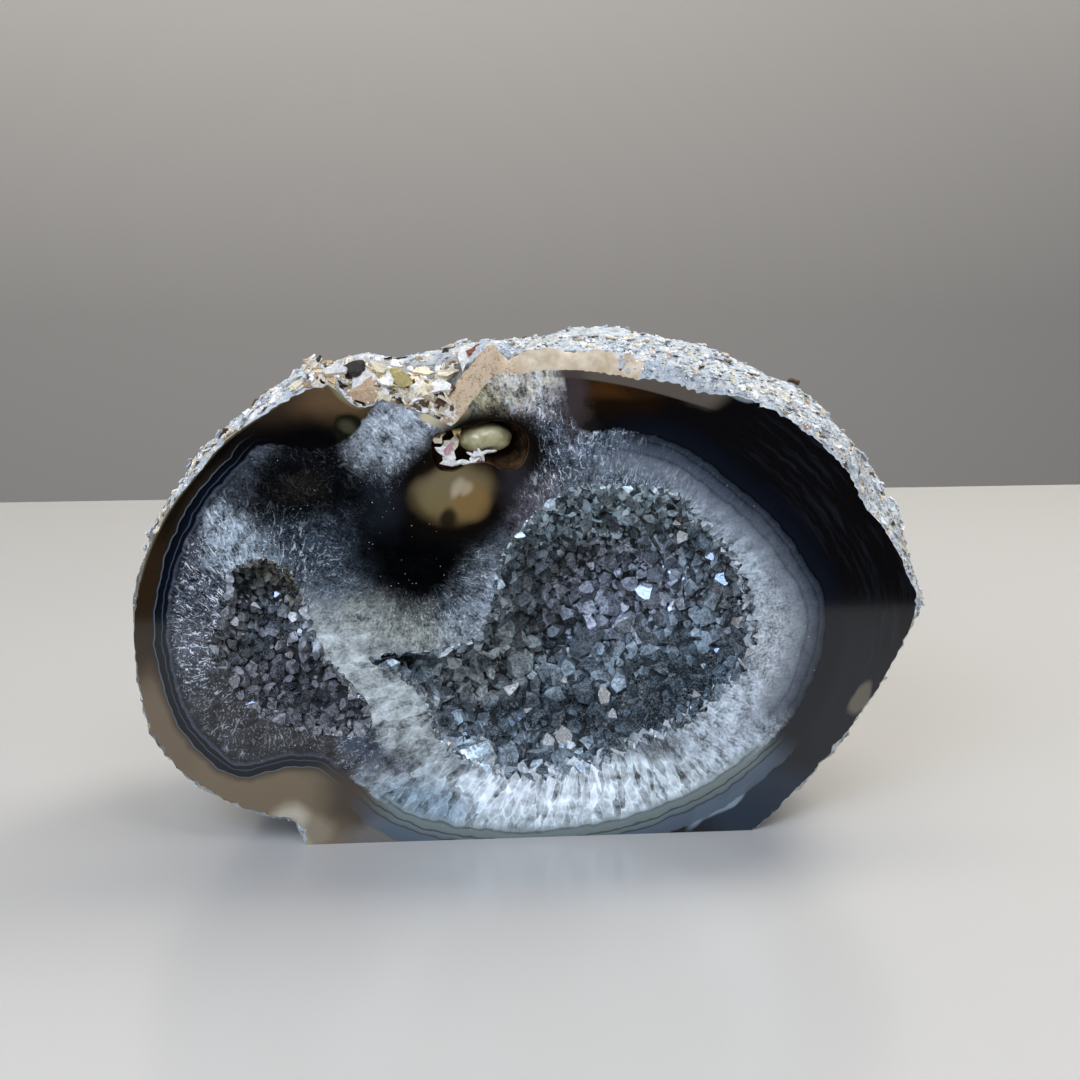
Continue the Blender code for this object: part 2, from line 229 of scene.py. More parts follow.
# a closed curve, for the distance of a point from it, positive outside
class Outline:

    def __init__(self, points):
        curve = closedCurve(points, 24)
        count = len(curve)
        self.curve = curve
        self.tree = kdtree.KDTree(count)
        self.out = []
        turning = sum(a.cross(b) for a, b in zip(curve, curve[1:] + curve[:1]))
        for i, p in enumerate(curve):
            along = (curve[(i + 1) % count] - curve[i - 1]).normalized()
            out = Vector((along.y, -along.x))
            self.out.append(out if turning > 0 else -out)
            self.tree.insert((p.x, p.y, 0), i)
        self.tree.balance()

    def gap(self, x, z):
        i, distance = self.tree.find((x, z, 0))[1:]
        return math.copysign(distance, (Vector((x, z)) - self.curve[i]).dot(self.out[i]))


# small tools
def freshStart():
    if bpy.context.object and bpy.context.object.mode != "OBJECT":
        bpy.ops.object.mode_set(mode="OBJECT")
    bpy.ops.object.select_all(action="DESELECT")


# selects these pieces alone, the first one active
def choose(*pieces):
    freshStart()
    for piece in pieces:
        piece.select_set(True)
    bpy.context.view_layer.objects.active = pieces[0]
    return pieces[0]


# adds one of Blender's primitives with nothing else selected, and names it
def primitive(kind, name, **settings):
    freshStart()
    getattr(bpy.ops.mesh, f"primitive_{kind}_add")(**settings)
    piece = bpy.context.object
    piece.name = piece.data.name = name
    return piece


# puts a piece's place into its mesh
def settle(piece):
    choose(piece)
    bpy.ops.object.transform_apply(location=True, rotation=True, scale=True)


def joined(pieces, name):
    piece = choose(*pieces)
    bpy.ops.object.join()
    piece.name = piece.data.name = name
    return piece


# closes a piece's seams, which lie closer than the gap, and turns its faces outwards
def merged(piece, gap=1e-7):
    choose(piece)
    bpy.ops.object.mode_set(mode="EDIT")
    bpy.ops.mesh.select_all(action="SELECT")
    bpy.ops.mesh.remove_doubles(threshold=gap)
    bpy.ops.mesh.normals_make_consistent(inside=False)
    bpy.ops.object.mode_set(mode="OBJECT")
    return piece


# gives a piece these materials and no others
def clad(piece, *materials):
    piece.data.materials.clear()
    for made in materials:
        piece.data.materials.append(made)


# keeps one number for each face of a piece, for its material to read
def shadeFaces(piece, values):
    piece.data.attributes.new("facet", "FLOAT", "FACE").data.foreach_set("value", values)


def anyWay(draw, reach=1.0):
    return Vector([draw.uniform(-reach, reach) for _ in range(3)])


# the angle of a point of the face round a middle, in degrees from the right
def degreesRound(x, z, middle):
    return math.degrees(math.atan2(z - middle[1], x - middle[0]))


def fromPoints(name, points, faces):
    mesh = bpy.data.meshes.new(name)
    mesh.from_pydata(points, [], faces)
    piece = bpy.data.objects.new(name, mesh)
    bpy.context.scene.collection.objects.link(piece)
    return piece


# a grid primitive whose points all move to spotAt(column, row), in metres
def shapedGrid(name, columns, rows, spotAt):
    piece = primitive("grid", name, x_subdivisions=columns, y_subdivisions=rows, size=1.0)
    for vert in piece.data.vertices:
        column = round((vert.co.x + 0.5) * columns)
        row = round((vert.co.y + 0.5) * rows)
        vert.co = spotAt(column % columns, row)
    return piece


# the stone
def noduleSurface():
    turns = nodule["turns"]
    face = radiiRound(nodule["outline"], nodule["faceCentre"], turns)
    rounder = smoothedRound(face, nodule["roundingReach"])
    roundest = smoothedRound(rounder, nodule["backReach"])
    heart = Vector((nodule["faceCentre"][0], nodule["fullSectionY"], nodule["faceCentre"][1]))
    depth, full = nodule["depth"], nodule["fullSectionY"]
    notch = nodule["notch"]

    def roughInNotch(degrees, y):
        beside = smoothShare(notch["halfAngle"] - abs(degrees - notch["angle"]), 0, notch["halfAngle"] / 2)
        return beside * smoothShare(y, 0.5, 2) * (1 - smoothShare(y, notch["reachY"] / 2, notch["reachY"]))

    def onTongue(degrees):
        low, full0, full1, high = nodule["tongue"]["angles"]
        return smoothShare(degrees, low, full0) * (1 - smoothShare(degrees, full1, high))

    # a point of the rind, and how far it stands proud of the rind's mean surface
    def spotAt(turn, y):
        degrees = 360 * turn / turns
        angle = math.radians(degrees)
        behind = max(0.0, y - full) / (depth - full)
        size = math.sqrt(max(0.0, 1 - behind ** nodule["backFullness"]))
        swell = math.sin(math.pi / 2 * min(1.0, y / full))
        radius = face[turn] + (rounder[turn] - face[turn]) * smoothShare(y, 0, nodule["roundingY"])
        radius += (roundest[turn] - radius) * smoothShare(y, full, depth)
        radius += around(nodule["swell"], degrees) * swell * (1 - smoothShare(y, nodule["roundingY"], depth))
        bevel = max(0.0, 1 - y / nodule["bevelDepth"])
        radius -= around(nodule["edgeWidth"], degrees) * bevel
        tongue, here = nodule["tongue"], onTongue(degrees)
        radius += tongue["rise"] * here * smoothShare(y, -0.6, tongue["slopeY"]) * (
            1 - smoothShare(y, tongue["flatY"], tongue["endY"]))
        radius -= tongue["rise"] * here * smoothShare(0, -0.6, tongue["slopeY"]) * max(0.0, 1 - y)
        rim = Vector((face[turn] * math.cos(angle), 0, face[turn] * math.sin(angle)))
        chip = abs(lumps(rim, 1.3, 1.0)) + 0.6 * abs(lumps(rim, 0.55, 2.0)) + 0.5 * max(0, lumps(rim, 4.0, 3.0))
        radius -= around(nodule["chips"], degrees) * chip * max(0.0, 1 - y / 0.9)
        radius *= size
        share = y / depth
        spot = Vector((nodule["faceCentre"][0] + nodule["backShift"][0] * share + radius * math.cos(angle), y,
                       nodule["faceCentre"][1] + nodule["backShift"][1] * share + radius * math.sin(angle)))
        out = spot - heart
        out.y *= smoothShare(y, full, depth - 20)
        out = out.normalized()
        rough = sum(height * lumps(spot, width, seed) for height, width, seed in nodule["lumps"])
        rough *= smoothShare(y, 2, 10) * smoothShare(size, 0, 0.8)
        rough += notch["height"] * lumps(spot, notch["size"], 6.6) * roughInNotch(degrees, y) * (1 - 0.85 * here)
        relief = rindRelief(spot) * smoothShare(y, 0.0, 1.0) * smoothShare(size, 0, 0.15)
        return spot + out * (rough + relief), relief

    return spotAt


rind = {
    "flakes": (0.55, (4.2, 1.5, 4.2), 0.9),  # height, size along x, y, z, and seed
    "crumbs": (0.42, 1.3, 5.2),
    "grains": (0.30, 0.62, 9.1),
    "ledges": 3.0,
}


# flakes that lie along the rind, broken in ledges, with crumbs and grains on them, in millimetres
def rindRelief(spot):
    height, size, seed = rind["flakes"]
    stretched = Vector((spot.x / size[0], spot.y / size[1], spot.z / size[2])) + Vector((seed, -seed, 2 * seed))
    flake = noise.noise(stretched) + 0.5 * noise.noise(stretched * 2.3)
    ledge = flake * rind["ledges"]
    ledge = (math.floor(ledge) + smoothShare(ledge % 1, 0.35, 0.65)) / rind["ledges"]
    total = height * (0.4 * flake + 0.6 * ledge)
    for height, size, seed in (rind["crumbs"], rind["grains"]):
        total += height * lumps(spot, size, seed)
    return total


# depths of the shell's rows: the first ones, then even steps up to a depth, then even steps of its size
shellRows = {"first": (0.0, 0.22, 0.45, 0.7, 1.0, 1.4), "steps": ((15, 0.42), (49, 1.25)),
             "closing": {"from": 0.745, "to": 0.02, "step": 0.025}}


def sectionDepths():
    depths = list(shellRows["first"])
    for reach, step in shellRows["steps"]:
        while depths[-1] < reach:
            depths.append(depths[-1] + step)
    # towards the back the section closes, so its size steps down evenly
    depth, full, closing = nodule["depth"], nodule["fullSectionY"], shellRows["closing"]
    size = closing["from"]
    while size > closing["to"]:
        depths.append(full + (depth - full) * (1 - size * size) ** (1 / nodule["backFullness"]))
        size -= closing["step"]
    return depths + [depth]


# moves a point into the CAD's box, and by a skin, in metres, off its sides but not off the polished face
def clampedIn(spot, skin=0.00003):
    low, high = cadBox
    return Vector([min(max(spot[k], low[k] + skin * (k != 1)), high[k] - skin) for k in range(3)])


def rindShell():
    spotAt = noduleSurface()
    depths = sectionDepths()
    turns = nodule["turns"]
    spots, reliefs = {}, {}
    (faceX, faceZ), (shiftX, shiftZ) = nodule["faceCentre"], nodule["backShift"]
    tip = clampedIn(place(faceX + shiftX, nodule["depth"], faceZ + shiftZ))
    for row, y in enumerate(depths[:-1]):
        for turn in range(turns):
            spot, relief = spotAt(turn, y)
            if row == 0:
                spot.y = 0
            spots[turn, row] = clampedIn(place(*spot), nodule["skin"]) if row else place(*spot)
            reliefs[turn, row] = relief
    shell = shapedGrid("rindShell", turns, len(depths) - 1, lambda column, row: spots.get((column, row), tip))
    relief = shell.data.attributes.new("relief", "FLOAT", "POINT")
    # the grid's points count along x first
    for i, point in enumerate(relief.data):
        row, column = divmod(i, turns + 1)
        point.value = reliefs.get((column % turns, row), 0.0)
    return shell, [spots[turn, 0] for turn in range(turns)]


# the cut crystals along a mouth: lowest and highest width, share of the height, and place of the peak
cutTeeth = {"spacing": 0.33, "width": (1.0, 2.9), "height": (0.25, 1.0), "peak": (0.3, 0.7), "rise": 1.5,
            "setBack": 0.3}


# the mouth on the polished face, with the teeth of the cut crystals
def mouthRing(hollow):
    outline = Outline(hollow["mouth"])
    curve = outline.curve
    draw = random.Random(hollow["seed"])
    lengths = [0.0]
    for a, b in zip(curve, curve[1:] + curve[:1]):
        lengths.append(lengths[-1] + (b - a).length)
    whole = lengths[-1]
    teeth = []
    start = 0.0
    while start < whole:
        width = draw.uniform(*cutTeeth["width"])
        teeth.append((start, width, draw.uniform(*cutTeeth["height"]), draw.uniform(*cutTeeth["peak"])))
        start += width
    starts = [tooth[0] for tooth in teeth]
    count = int(whole / cutTeeth["spacing"])
    ring = []
    for i in range(count):
        run = whole * i / count
        k = bisect.bisect_right(lengths, run) - 1
        share = (run - lengths[k]) / (lengths[k + 1] - lengths[k])
        a, b = curve[k % len(curve)], curve[(k + 1) % len(curve)]
        spot = a + (b - a) * share
        out = outline.out[k % len(curve)]
        start, width, tall, peak = teeth[bisect.bisect_right(starts, run) - 1]
        along = (run - start) / width
        rise = along / peak if along < peak else (1 - along) / (1 - peak)
        degrees = degreesRound(*spot, hollow["middle"])
        height = around(hollow["teeth"], degrees) * tall * max(0.0, rise) * cutTeeth["rise"]
        spot = spot - out * height + out * cutTeeth["setBack"]
        ring.append((spot.x, spot.y))
    return ring


def insideRing(point, ring):
    x, z = point
    inside = False
    for (x0, z0), (x1, z1) in zip(ring, ring[1:] + ring[:1]):
        if (z0 > z) != (z1 > z) and x < x0 + (z - z0) * (x1 - x0) / (z1 - z0):
            inside = not inside
    return inside


faceGrid = {
    "spacing": 0.52,
    "rowShare": 0.866,  # rows of even triangles, as a share of the spacing
    "halfWidth": 135,  # columns to each side
    "lowestRow": -3, "height": 100,
    "rimRoom": 0.2, "ringRoom": 0.55,  # clear of the outline, and of every ring as a share of the spacing
    "nearRim": 5, "nearMouth": 3,  # farther in than this, a point needs no test against the ring itself
}


# the flat face between the rim and the mouths, in fine triangles
def polishedFace(rim, mouths):
    spacing, rowShare = faceGrid["spacing"], faceGrid["rowShare"]
    rings = [rim] + mouths
    points, edges = [], []
    for ring in rings:
        first = len(points)
        points += [Vector(p) for p in ring]
        edges += [(first + i, first + (i + 1) % len(ring)) for i in range(len(ring))]
    fixed = len(points)
    trees = []
    for ring in rings:
        tree = kdtree.KDTree(len(ring))
        for i, p in enumerate(ring):
            tree.insert((p[0], p[1], 0), i)
        tree.balance()
        trees.append(tree)
    rimOutline = Outline(nodule["outline"])
    mouthOutlines = [Outline(hollow["mouth"]) for hollow in hollows.values()]
    for row in range(faceGrid["lowestRow"], int(faceGrid["height"] / (spacing * rowShare))):
        z = row * spacing * rowShare
        for column in range(-faceGrid["halfWidth"], faceGrid["halfWidth"] + 1):
            x = (column + (row % 2) / 2) * spacing
            rimGap = rimOutline.gap(x, z)
            if rimGap > -faceGrid["rimRoom"]:
                continue
            if min(tree.find((x, z, 0))[2] for tree in trees) < spacing * faceGrid["ringRoom"]:
                continue
            mouthGap = min(outline.gap(x, z) for outline in mouthOutlines)
            if mouthGap < faceGrid["nearMouth"] and any(insideRing((x, z), ring) for ring in mouths):
                continue
            if rimGap > -faceGrid["nearRim"] and not insideRing((x, z), rim):
                continue
            points.append(Vector((x, z)))
    made = geometry.delaunay_2d_cdt(points, edges, [], 1, 1e-7)
    spots, faces = made[0], made[2]
    kept = []
    for face in faces:
        if all(i < fixed for i in face):
            middle = sum((spots[i] for i in face), Vector((0, 0))) / 3
            if not insideRing(middle, rim) or any(insideRing(middle, ring) for ring in mouths):
                continue
        a, b, c = (spots[i] for i in face)
        kept.append(face if (b - a).cross(c - a) > 0 else face[::-1])
    return fromPoints("polishedFace", [place(p.x, 0, p.y) for p in spots], kept)


# the stone's wall behind a mouth, back to a closed bowl
def hollowWall(name, hollow, ring):
    middle = hollow["middle"]
    angles = [degreesRound(x, z, middle) % 360 for x, z in ring]
    fine = radiiRound(hollow["mouth"], middle, 720, hollow.get("growth", bowl["growth"]))
    reach = [fine[int(angle * 2) % 720] for angle in angles]
    # share of the depth, and how far out from the mouth's ring to the bowl's width
    steps = [(0.0, 0.0), (0.05, 0.55)] + [(share, 1.0) for share, width in bowl["profile"][1:]]

    def spotAt(column, row):
        share, outwards = steps[row]
        (x, z), angle = ring[column], math.radians(angles[column])
        radius = reach[column] * (profileWidth(share) if outwards == 1 else 1.0)
        outX, outZ = middle[0] + radius * math.cos(angle), middle[1] + radius * math.sin(angle)
        if outwards < 1:
            outX, outZ = x + (outX - x) * outwards, z + (outZ - z) * outwards
        return place(outX, share * hollow["depth"], outZ)

    return shapedGrid(name, len(ring), len(steps) - 1, spotAt)


def profileWidth(share):
    profile = bowl["profile"]
    for (s0, w0), (s1, w1) in zip(profile, profile[1:]):
        if s0 <= share <= s1:
            return w0 + (w1 - w0) * (share - s0) / (s1 - s0)
    return 0.0


# from and to which angle the nodule's skin is ground smooth, and how far back
groundParts = ((66.0, 97.0, 1.4), (97.0, 112.0, 2.3))
skins = ("polished", "ground", "rind", "sawn", "quartz", "pit")  # the stone's materials in their order


def buildStone():
    shell, rim = rindShell()
    rimRing = [inSketch(p)[::2] for p in rim]
    mouths = [mouthRing(hollow) for hollow in hollows.values()]
    face = polishedFace(rimRing, mouths)
    walls = [hollowWall(f"{name}Wall", hollow, ring)
             for (name, hollow), ring in zip(hollows.items(), mouths)]
    for piece, skin in zip([shell, face] + walls, ("rind", "polished", "quartz", "quartz", "pit")):
        clad(piece, *stoneMaterials.values())
        for polygon in piece.data.polygons:
            polygon.material_index = skins.index(skin)
    stone = joined([shell, face] + walls, "polishedStone")
    merged(stone, gap=2e-7)
    choose(stone)
    bpy.ops.object.mode_set(mode="EDIT")
    bpy.ops.mesh.select_all(action="SELECT")
    bpy.ops.mesh.bisect(plane_co=(0, 0, 0), plane_no=(0, 0, 1), use_fill=True, clear_inner=True,
                        threshold=1e-7)
    bpy.ops.object.mode_set(mode="OBJECT")
    for polygon in stone.data.polygons:
        if polygon.normal.z < -0.99 and abs(polygon.center.z) < 1e-5:
            polygon.material_index = skins.index("sawn")
        elif polygon.material_index == skins.index("rind"):
            x, behind, z = inSketch(polygon.center)
            degrees = degreesRound(x, z, nodule["faceCentre"])
            if any(low < degrees < high and behind < deep for low, high, deep in groundParts):
                polygon.material_index = skins.index("ground")
    measureFace(stone)
    choose(stone)
    bpy.ops.object.shade_smooth_by_angle(angle=math.radians(38))
    return stone


# keeps on each point of the polished face how far it is from the outlines that its marks follow
def measureFace(stone):
    outlines = {
        "rimGap": Outline(nodule["outline"]),
        "bandGap": Outline(quartzEdge),
        "noduleGap": Outline(noduleSkin),
    }
    mesh = stone.data
    front = place(0, 0.01, 0).y
    for name, outline in outlines.items():
        values = [0.0] * len(mesh.vertices)
        for i, vert in enumerate(mesh.vertices):
            if vert.co.y < front:
                x, y, z = inSketch(vert.co)
                values[i] = outline.gap(x, z)
        mesh.attributes.new(name, "FLOAT", "POINT").data.foreach_set("value", values)


# materials
def linear(hexColour):
    channels = [int(hexColour[k:k + 2], 16) / 255 for k in (1, 3, 5)]
    return tuple(c / 12.92 if c <= 0.04045 else ((c + 0.055) / 1.055) ** 2.4 for c in channels) + (1.0,)


# adds a node with its inputs, by place or by name, and its settings; a node given as an input stands for
# the first of its outputs that is in use, and stops are a ramp's positions, colours and, if given, covers
def addNode(tree, kind, inputs=(), stops=(), **settings):
    node = tree.nodes.new("ShaderNode" + kind)
    for name, value in settings.items():
        setattr(node, name, value)
    if stops:
        elements = node.color_ramp.elements
        elements.remove(elements[1])
        for k, (position, shade, *cover) in enumerate(stops):
            stop = elements.new(position) if k else elements[0]
            stop.position, stop.color = position, linear(shade)[:3] + tuple(cover or (1.0,))
    for key, value in inputs.items() if isinstance(inputs, dict) else enumerate(inputs):
        if isinstance(value, bpy.types.Node):
            value = next(output for output in value.outputs if output.enabled)
        if isinstance(value, bpy.types.NodeSocket):
            tree.links.new(value, node.inputs[key])
        else:
            node.inputs[key].default_value = value
    return node


# a new material, the function that adds its nodes, and Object coordinates in millimetres of the sketch frame
def startMaterial(name):
    made = bpy.data.materials.new(name)
    made.use_nodes = True
    made.node_tree.nodes.clear()

    def add(kind, inputs=(), **settings):
        return addNode(made.node_tree, kind, inputs, **settings)

    sketch = add("Mapping", {"Vector": add("TexCoord").outputs["Object"], "Location": (middleX, middleY, 0),
                             "Scale": (1 / millimetre,) * 3})
    return made, add, sketch


def surfaced(made, inputs):
    shader = addNode(made.node_tree, "BsdfPrincipled", inputs)
    addNode(made.node_tree, "OutputMaterial", {"Surface": shader})
    return made


# full strength inside an oval of the face, 0 outside it, soft between; it reaches through the whole depth
def insideOval(add, where, middle, size, turn=0.0, low=1.15, high=0.85, strength=1.0):
    scaled = add("Mapping", {"Vector": where, "Location": (middle[0], 0, middle[1]),
                             "Rotation": (0, math.radians(-turn), 0), "Scale": (size[0], 1e6, size[1])},
                 vector_type="TEXTURE")
    far = add("VectorMath", (scaled,), operation="LENGTH")
    return add("MapRange", (far, low, high, 0.0, strength), interpolation_type="SMOOTHSTEP")


# lays soft-edged ovals of colour over what is under them: middle, half sizes, colour, strength, turn, softness
def clouded(add, under, where, clouds):
    under = linear(under) if isinstance(under, str) else under
    for cloud in clouds:
        middle, size, colour, strength, turn, soft = cloud + cloudDefaults[len(cloud):]
        share = insideOval(add, where, middle, size, turn, 1 + soft / 2, 1 - soft / 2, strength)
        under = add("Mix", {0: share, 6: under, 7: linear(colour)}, data_type="RGBA")
    return under


cloudDefaults = (None, None, None, 1.0, 0.0, 0.8)


# coordinates for crystals that spread out from a middle: fine turns of the direction, long runs outwards
def fibres(add, where, middle, fine, long, seed):
    away = add("VectorMath", (where, (middle[0], 0, middle[1])), operation="SUBTRACT")
    run = add("VectorMath", (away,), operation="LENGTH")
    way = add("VectorMath", (away,), operation="NORMALIZE")
    turned = add("VectorMath", {0: way, "Scale": fine}, operation="SCALE")
    along = add("Math", (run, 1 / long, seed), operation="MULTIPLY_ADD")
    lift = add("CombineXYZ", {"Y": along})
    return add("VectorMath", (turned, lift), operation="ADD")


# the first of the numbers, with each later one laid over it on its own oval
def mixedByPlace(add, parts):
    result = parts[0][0]
    for value, share in parts[1:]:
        result = add("Mix", {0: share, 2: result, 3: value}, data_type="FLOAT")
    return result


# agate and quartz, sawn and polished: glassy, with the bands, fibres and smoky clouds inside it
def polishedAgate():
    made, add, sketch = startMaterial("polishedAgate")

    # coordinates pushed about by a noise, up to its reach in millimetres
    def moved(where, scale, detail, reach):
        push = add("TexNoise", {"Scale": scale, "Detail": detail, "Vector": where}).outputs["Color"]
        push = add("VectorMath", (push, (2 * reach, 0, 2 * reach), (-reach, 0, -reach)),
                   operation="MULTIPLY_ADD")
        return add("VectorMath", (where, push), operation="ADD")

    flat = add("VectorMath", (sketch, (1, 0, 1)), operation="MULTIPLY")
    calm = moved(flat, 0.11, 2.0, 2.4)
    bent = moved(moved(flat, 0.13, 3.0, 3.2), 0.8, 4.0, 1.0)
    crisp = moved(flat, 0.9, 2.0, 0.45)
    gaps = {name: add("Attribute", attribute_name=name).outputs["Fac"]
            for name in ("rimGap", "bandGap", "noduleGap")}

    quartz = clouded(add, "#59626b", bent, quartzClouds)
    agate = clouded(add, "#0b0a0b", calm, agateClouds)
    # how strongly the quartz shows fibres (red), cut crystals (green) and bright needles (blue)
    amounts = clouded(add, (0.45, 0.35, 0.35, 1), bent, grainClouds)
    amounts = add("SeparateColor", (amounts,)).outputs

    # thin bright lines where a slow noise passes its middle, broken into needles by a second noise
    def needlesIn(where, scale, width, low=0.5):
        slow = add("TexNoise", {"Scale": scale, "Detail": 1.5, "Vector": where})
        off = add("Math", (slow, 0.5), operation="SUBTRACT")
        off = add("Math", (off,), operation="ABSOLUTE")
        line = add("MapRange", (off, width, 0.35 * width))
        broken = add("TexNoise", {"Scale": 1.9 * scale, "Detail": 1.0, "Vector": where})
        broken = add("MapRange", (broken, low, low + 0.07))
        return add("Math", (line, broken), operation="MULTIPLY")

    # fibres 0.5 mm wide and needles 0.2 mm wide spread from each hollow and from the black cloud
    threads, bright = [], []
    for middle, oval, fine, seed in fibreCentres:
        share = insideOval(add, bent, *oval, low=1.3, high=0.8) if oval else None
        lay = fibres(add, crisp, middle, fine, fibreRun, seed)
        thread = add("TexNoise", {"Scale": 1.3, "Detail": 3.5, "Roughness": 0.72, "Vector": lay})
        threads.append((thread, share))
        bright.append((needlesIn(lay, 0.62, 0.034), share))
    threads, bright = mixedByPlace(add, threads), mixedByPlace(add, bright)
    # crystals cut across, 1 to 2 mm wide, spreading from the main hollow
    middle, oval, fine, seed = fibreCentres[0]
    lay = fibres(add, crisp, middle, fine, fibreRun, seed)
    cells = add("TexVoronoi", {"Scale": 0.6, "Randomness": 1.0, "Vector": lay})
    cut = add("SeparateColor", (cells.outputs["Color"],)).outputs[0]
    near = add("TexVoronoi", {"Scale": 0.6, "Vector": lay}, feature="DISTANCE_TO_EDGE")
    edges = add("MapRange", (near, 0.09, 0.02))
    patches = add("TexNoise", {"Scale": 0.42, "Detail": 2.0, "Roughness": 0.6, "Vector": flat})  # 2.4 mm patches
    fibre = add("MapRange", (threads, 0.32, 0.68, -1.0, 1.0), clamp=False)
    crystal = add("Math", (cut, 2.0, -1.0), operation="MULTIPLY_ADD")
    patch = add("MapRange", (patches, 0.35, 0.65, -0.38, 0.38), clamp=False)
    light = add("Math", (fibre, amounts[0]), operation="MULTIPLY")
    light = add("Math", (light, 0.95, 0.86), operation="MULTIPLY_ADD")
    more = add("Math", (crystal, amounts[1]), operation="MULTIPLY")
    light = add("Math", (more, 0.5, light), operation="MULTIPLY_ADD")
    light = add("Math", (light, patch), operation="ADD")
    seams = add("Math", (edges, amounts[1]), operation="MULTIPLY")
    light = add("Math", (seams, 0.42, light), operation="MULTIPLY_ADD")
    flecks = add("TexNoise", {"Scale": 2.1, "Detail": 2.0, "Roughness": 0.6, "Vector": flat})  # 0.5 mm grains
    fleck = add("MapRange", (flecks, 0.36, 0.64, -0.42, 0.42), clamp=False)
    # where the crystals are cut across, they are clean
    clean = add("Math", (1.0, amounts[1]), operation="SUBTRACT")
    fleck = add("Math", (fleck, clean), operation="MULTIPLY")
    light = add("Math", (light, fleck), operation="ADD")
    light = add("Math", (light, 0.12), operation="MAXIMUM")
    quartz = add("VectorMath", {0: quartz, "Scale": light}, operation="SCALE")
    clustered = add("MapRange", (patches, 0.38, 0.52, 0.2, 1.0))
    needles = add("Math", (bright, clustered), operation="MULTIPLY")
    loose = add("Math", (needlesIn(crisp, 0.95, 0.03, 0.54), needlesIn(crisp, 1.5, 0.036, 0.56)),
                operation="MAXIMUM")
    loose = add("Math", (loose, clustered), operation="MULTIPLY")
    needles = add("Math", (needles, loose), operation="MAXIMUM")
    needles = add("Math", (needles, amounts[2]), operation="MULTIPLY")
    quartz = add("Mix", {0: needles, 6: quartz, 7: linear("#dfe9f1")}, data_type="RGBA")

    # the agate's own slow layers follow its outline
    wobble = add("Math", (add("TexNoise", {"Scale": 0.35, "Detail": 1.0, "Vector": flat}), 1.1, -0.55),
                 operation="MULTIPLY_ADD")
    gap = add("Math", (gaps["bandGap"], wobble), operation="ADD")
    frayed = add("Math", (threads, 1.6, gap), operation="MULTIPLY_ADD")
    isAgate = add("MapRange", (frayed, 0.5, 1.1), interpolation_type="SMOOTHSTEP")
    layer = add("TexWave", {"Scale": 0.28, "Distortion": 0.0, "Vector": add("CombineXYZ", {"X": gap})},
                bands_direction="X").outputs["Fac"]
    layer = add("MapRange", (layer, 0.0, 1.0, 0.985, 1.015))
    agate = add("VectorMath", {0: agate, "Scale": layer}, operation="SCALE")
    # thin pale streaks run along the dark agate on the right
    drawn = add("VectorMath", {0: flat, "Scale": 0.09}, operation="SCALE")
    drawn = add("VectorMath", (drawn, add("CombineXYZ", {"Y": gap})), operation="ADD")
    streak = add("TexNoise", {"Scale": 1.1, "Detail": 2.5, "Roughness": 0.6, "Vector": drawn})
    streak = add("MapRange", (streak, 0.5, 0.75, 0.0, 0.28))
    streakHere = insideOval(add, flat, (52, 50), (22, 30), low=1.2, high=0.7)
    streak = add("Math", (streak, streakHere), operation="MULTIPLY")
    agate = add("Mix", {0: streak, 6: agate, 7: linear("#2f3642")}, data_type="RGBA")
    colour = add("Mix", {0: isAgate, 6: quartz, 7: agate}, data_type="RGBA")

    # three families of bands along the quartz, each shown on its own part of the face
    for ramp, oval in bandFamilies:
        share = add("MapRange", (gap, bandSpan[0], bandSpan[1]))
        bands = add("ValToRGB", {"Fac": share}, stops=[
            ((distance - bandSpan[0]) / (bandSpan[1] - bandSpan[0]), shade, cover)
            for distance, shade, cover in ramp])
        here = insideOval(add, flat, *oval)
        cover = add("Math", (here, bands.outputs["Alpha"]), operation="MULTIPLY")
        colour = add("Mix", {0: cover, 6: colour, 7: bands}, data_type="RGBA")

    # along the rim: the grey strip at the top, a painted reflection where the face rounds into its ground edge,
    # and the green-black chipped edge at the left
    for near, far, oval, shade, strength in rimStrips:
        strip = add("MapRange", (gaps["rimGap"], near, far, 0.0, strength))
        here = insideOval(add, flat, *oval)
        cover = add("Math", (here, strip), operation="MULTIPLY")
        colour = add("Mix", {0: cover, 6: colour, 7: linear(shade)}, data_type="RGBA")

    # the tan nodule in its dark skin
    ring = add("MapRange", (gaps["noduleGap"], 5.0, 0.6), interpolation_type="SMOOTHSTEP")
    colour = add("Mix", {0: ring, 6: colour, 7: linear("#0d0a08")}, data_type="RGBA")
    core = add("MapRange", (gaps["noduleGap"], 1.2, -0.6), interpolation_type="SMOOTHSTEP")
    body = clouded(add, "#130e0a", calm, noduleClouds)
    colour = add("Mix", {0: core, 6: colour, 7: body}, data_type="RGBA")
    colour = clouded(add, colour, bent, hazeClouds)

    # sparks of light in the quartz, 0.1 to 0.25 mm
    cells = add("TexVoronoi", {"Scale": 1.7, "Vector": flat})
    draws = add("SeparateColor", (cells.outputs["Color"],)).outputs
    size = add("MapRange", (draws[0], 0.7, 1.0, -0.02, 0.15))
    near = add("Math", (size, cells), operation="SUBTRACT")
    spark = add("MapRange", (near, 0.0, 0.05))
    inQuartz = add("Math", (1.0, isAgate), operation="SUBTRACT")
    spark = add("Math", (spark, inQuartz), operation="MULTIPLY")
    bare = add("Math", (1.0, core), operation="SUBTRACT")
    spark = add("Math", (spark, bare), operation="MULTIPLY")
    colour = add("Mix", {0: spark, 6: colour, 7: linear("#e8eef2")}, data_type="RGBA")
    return surfaced(made, {"Base Color": colour, "Roughness": 0.07, "IOR": 1.54})


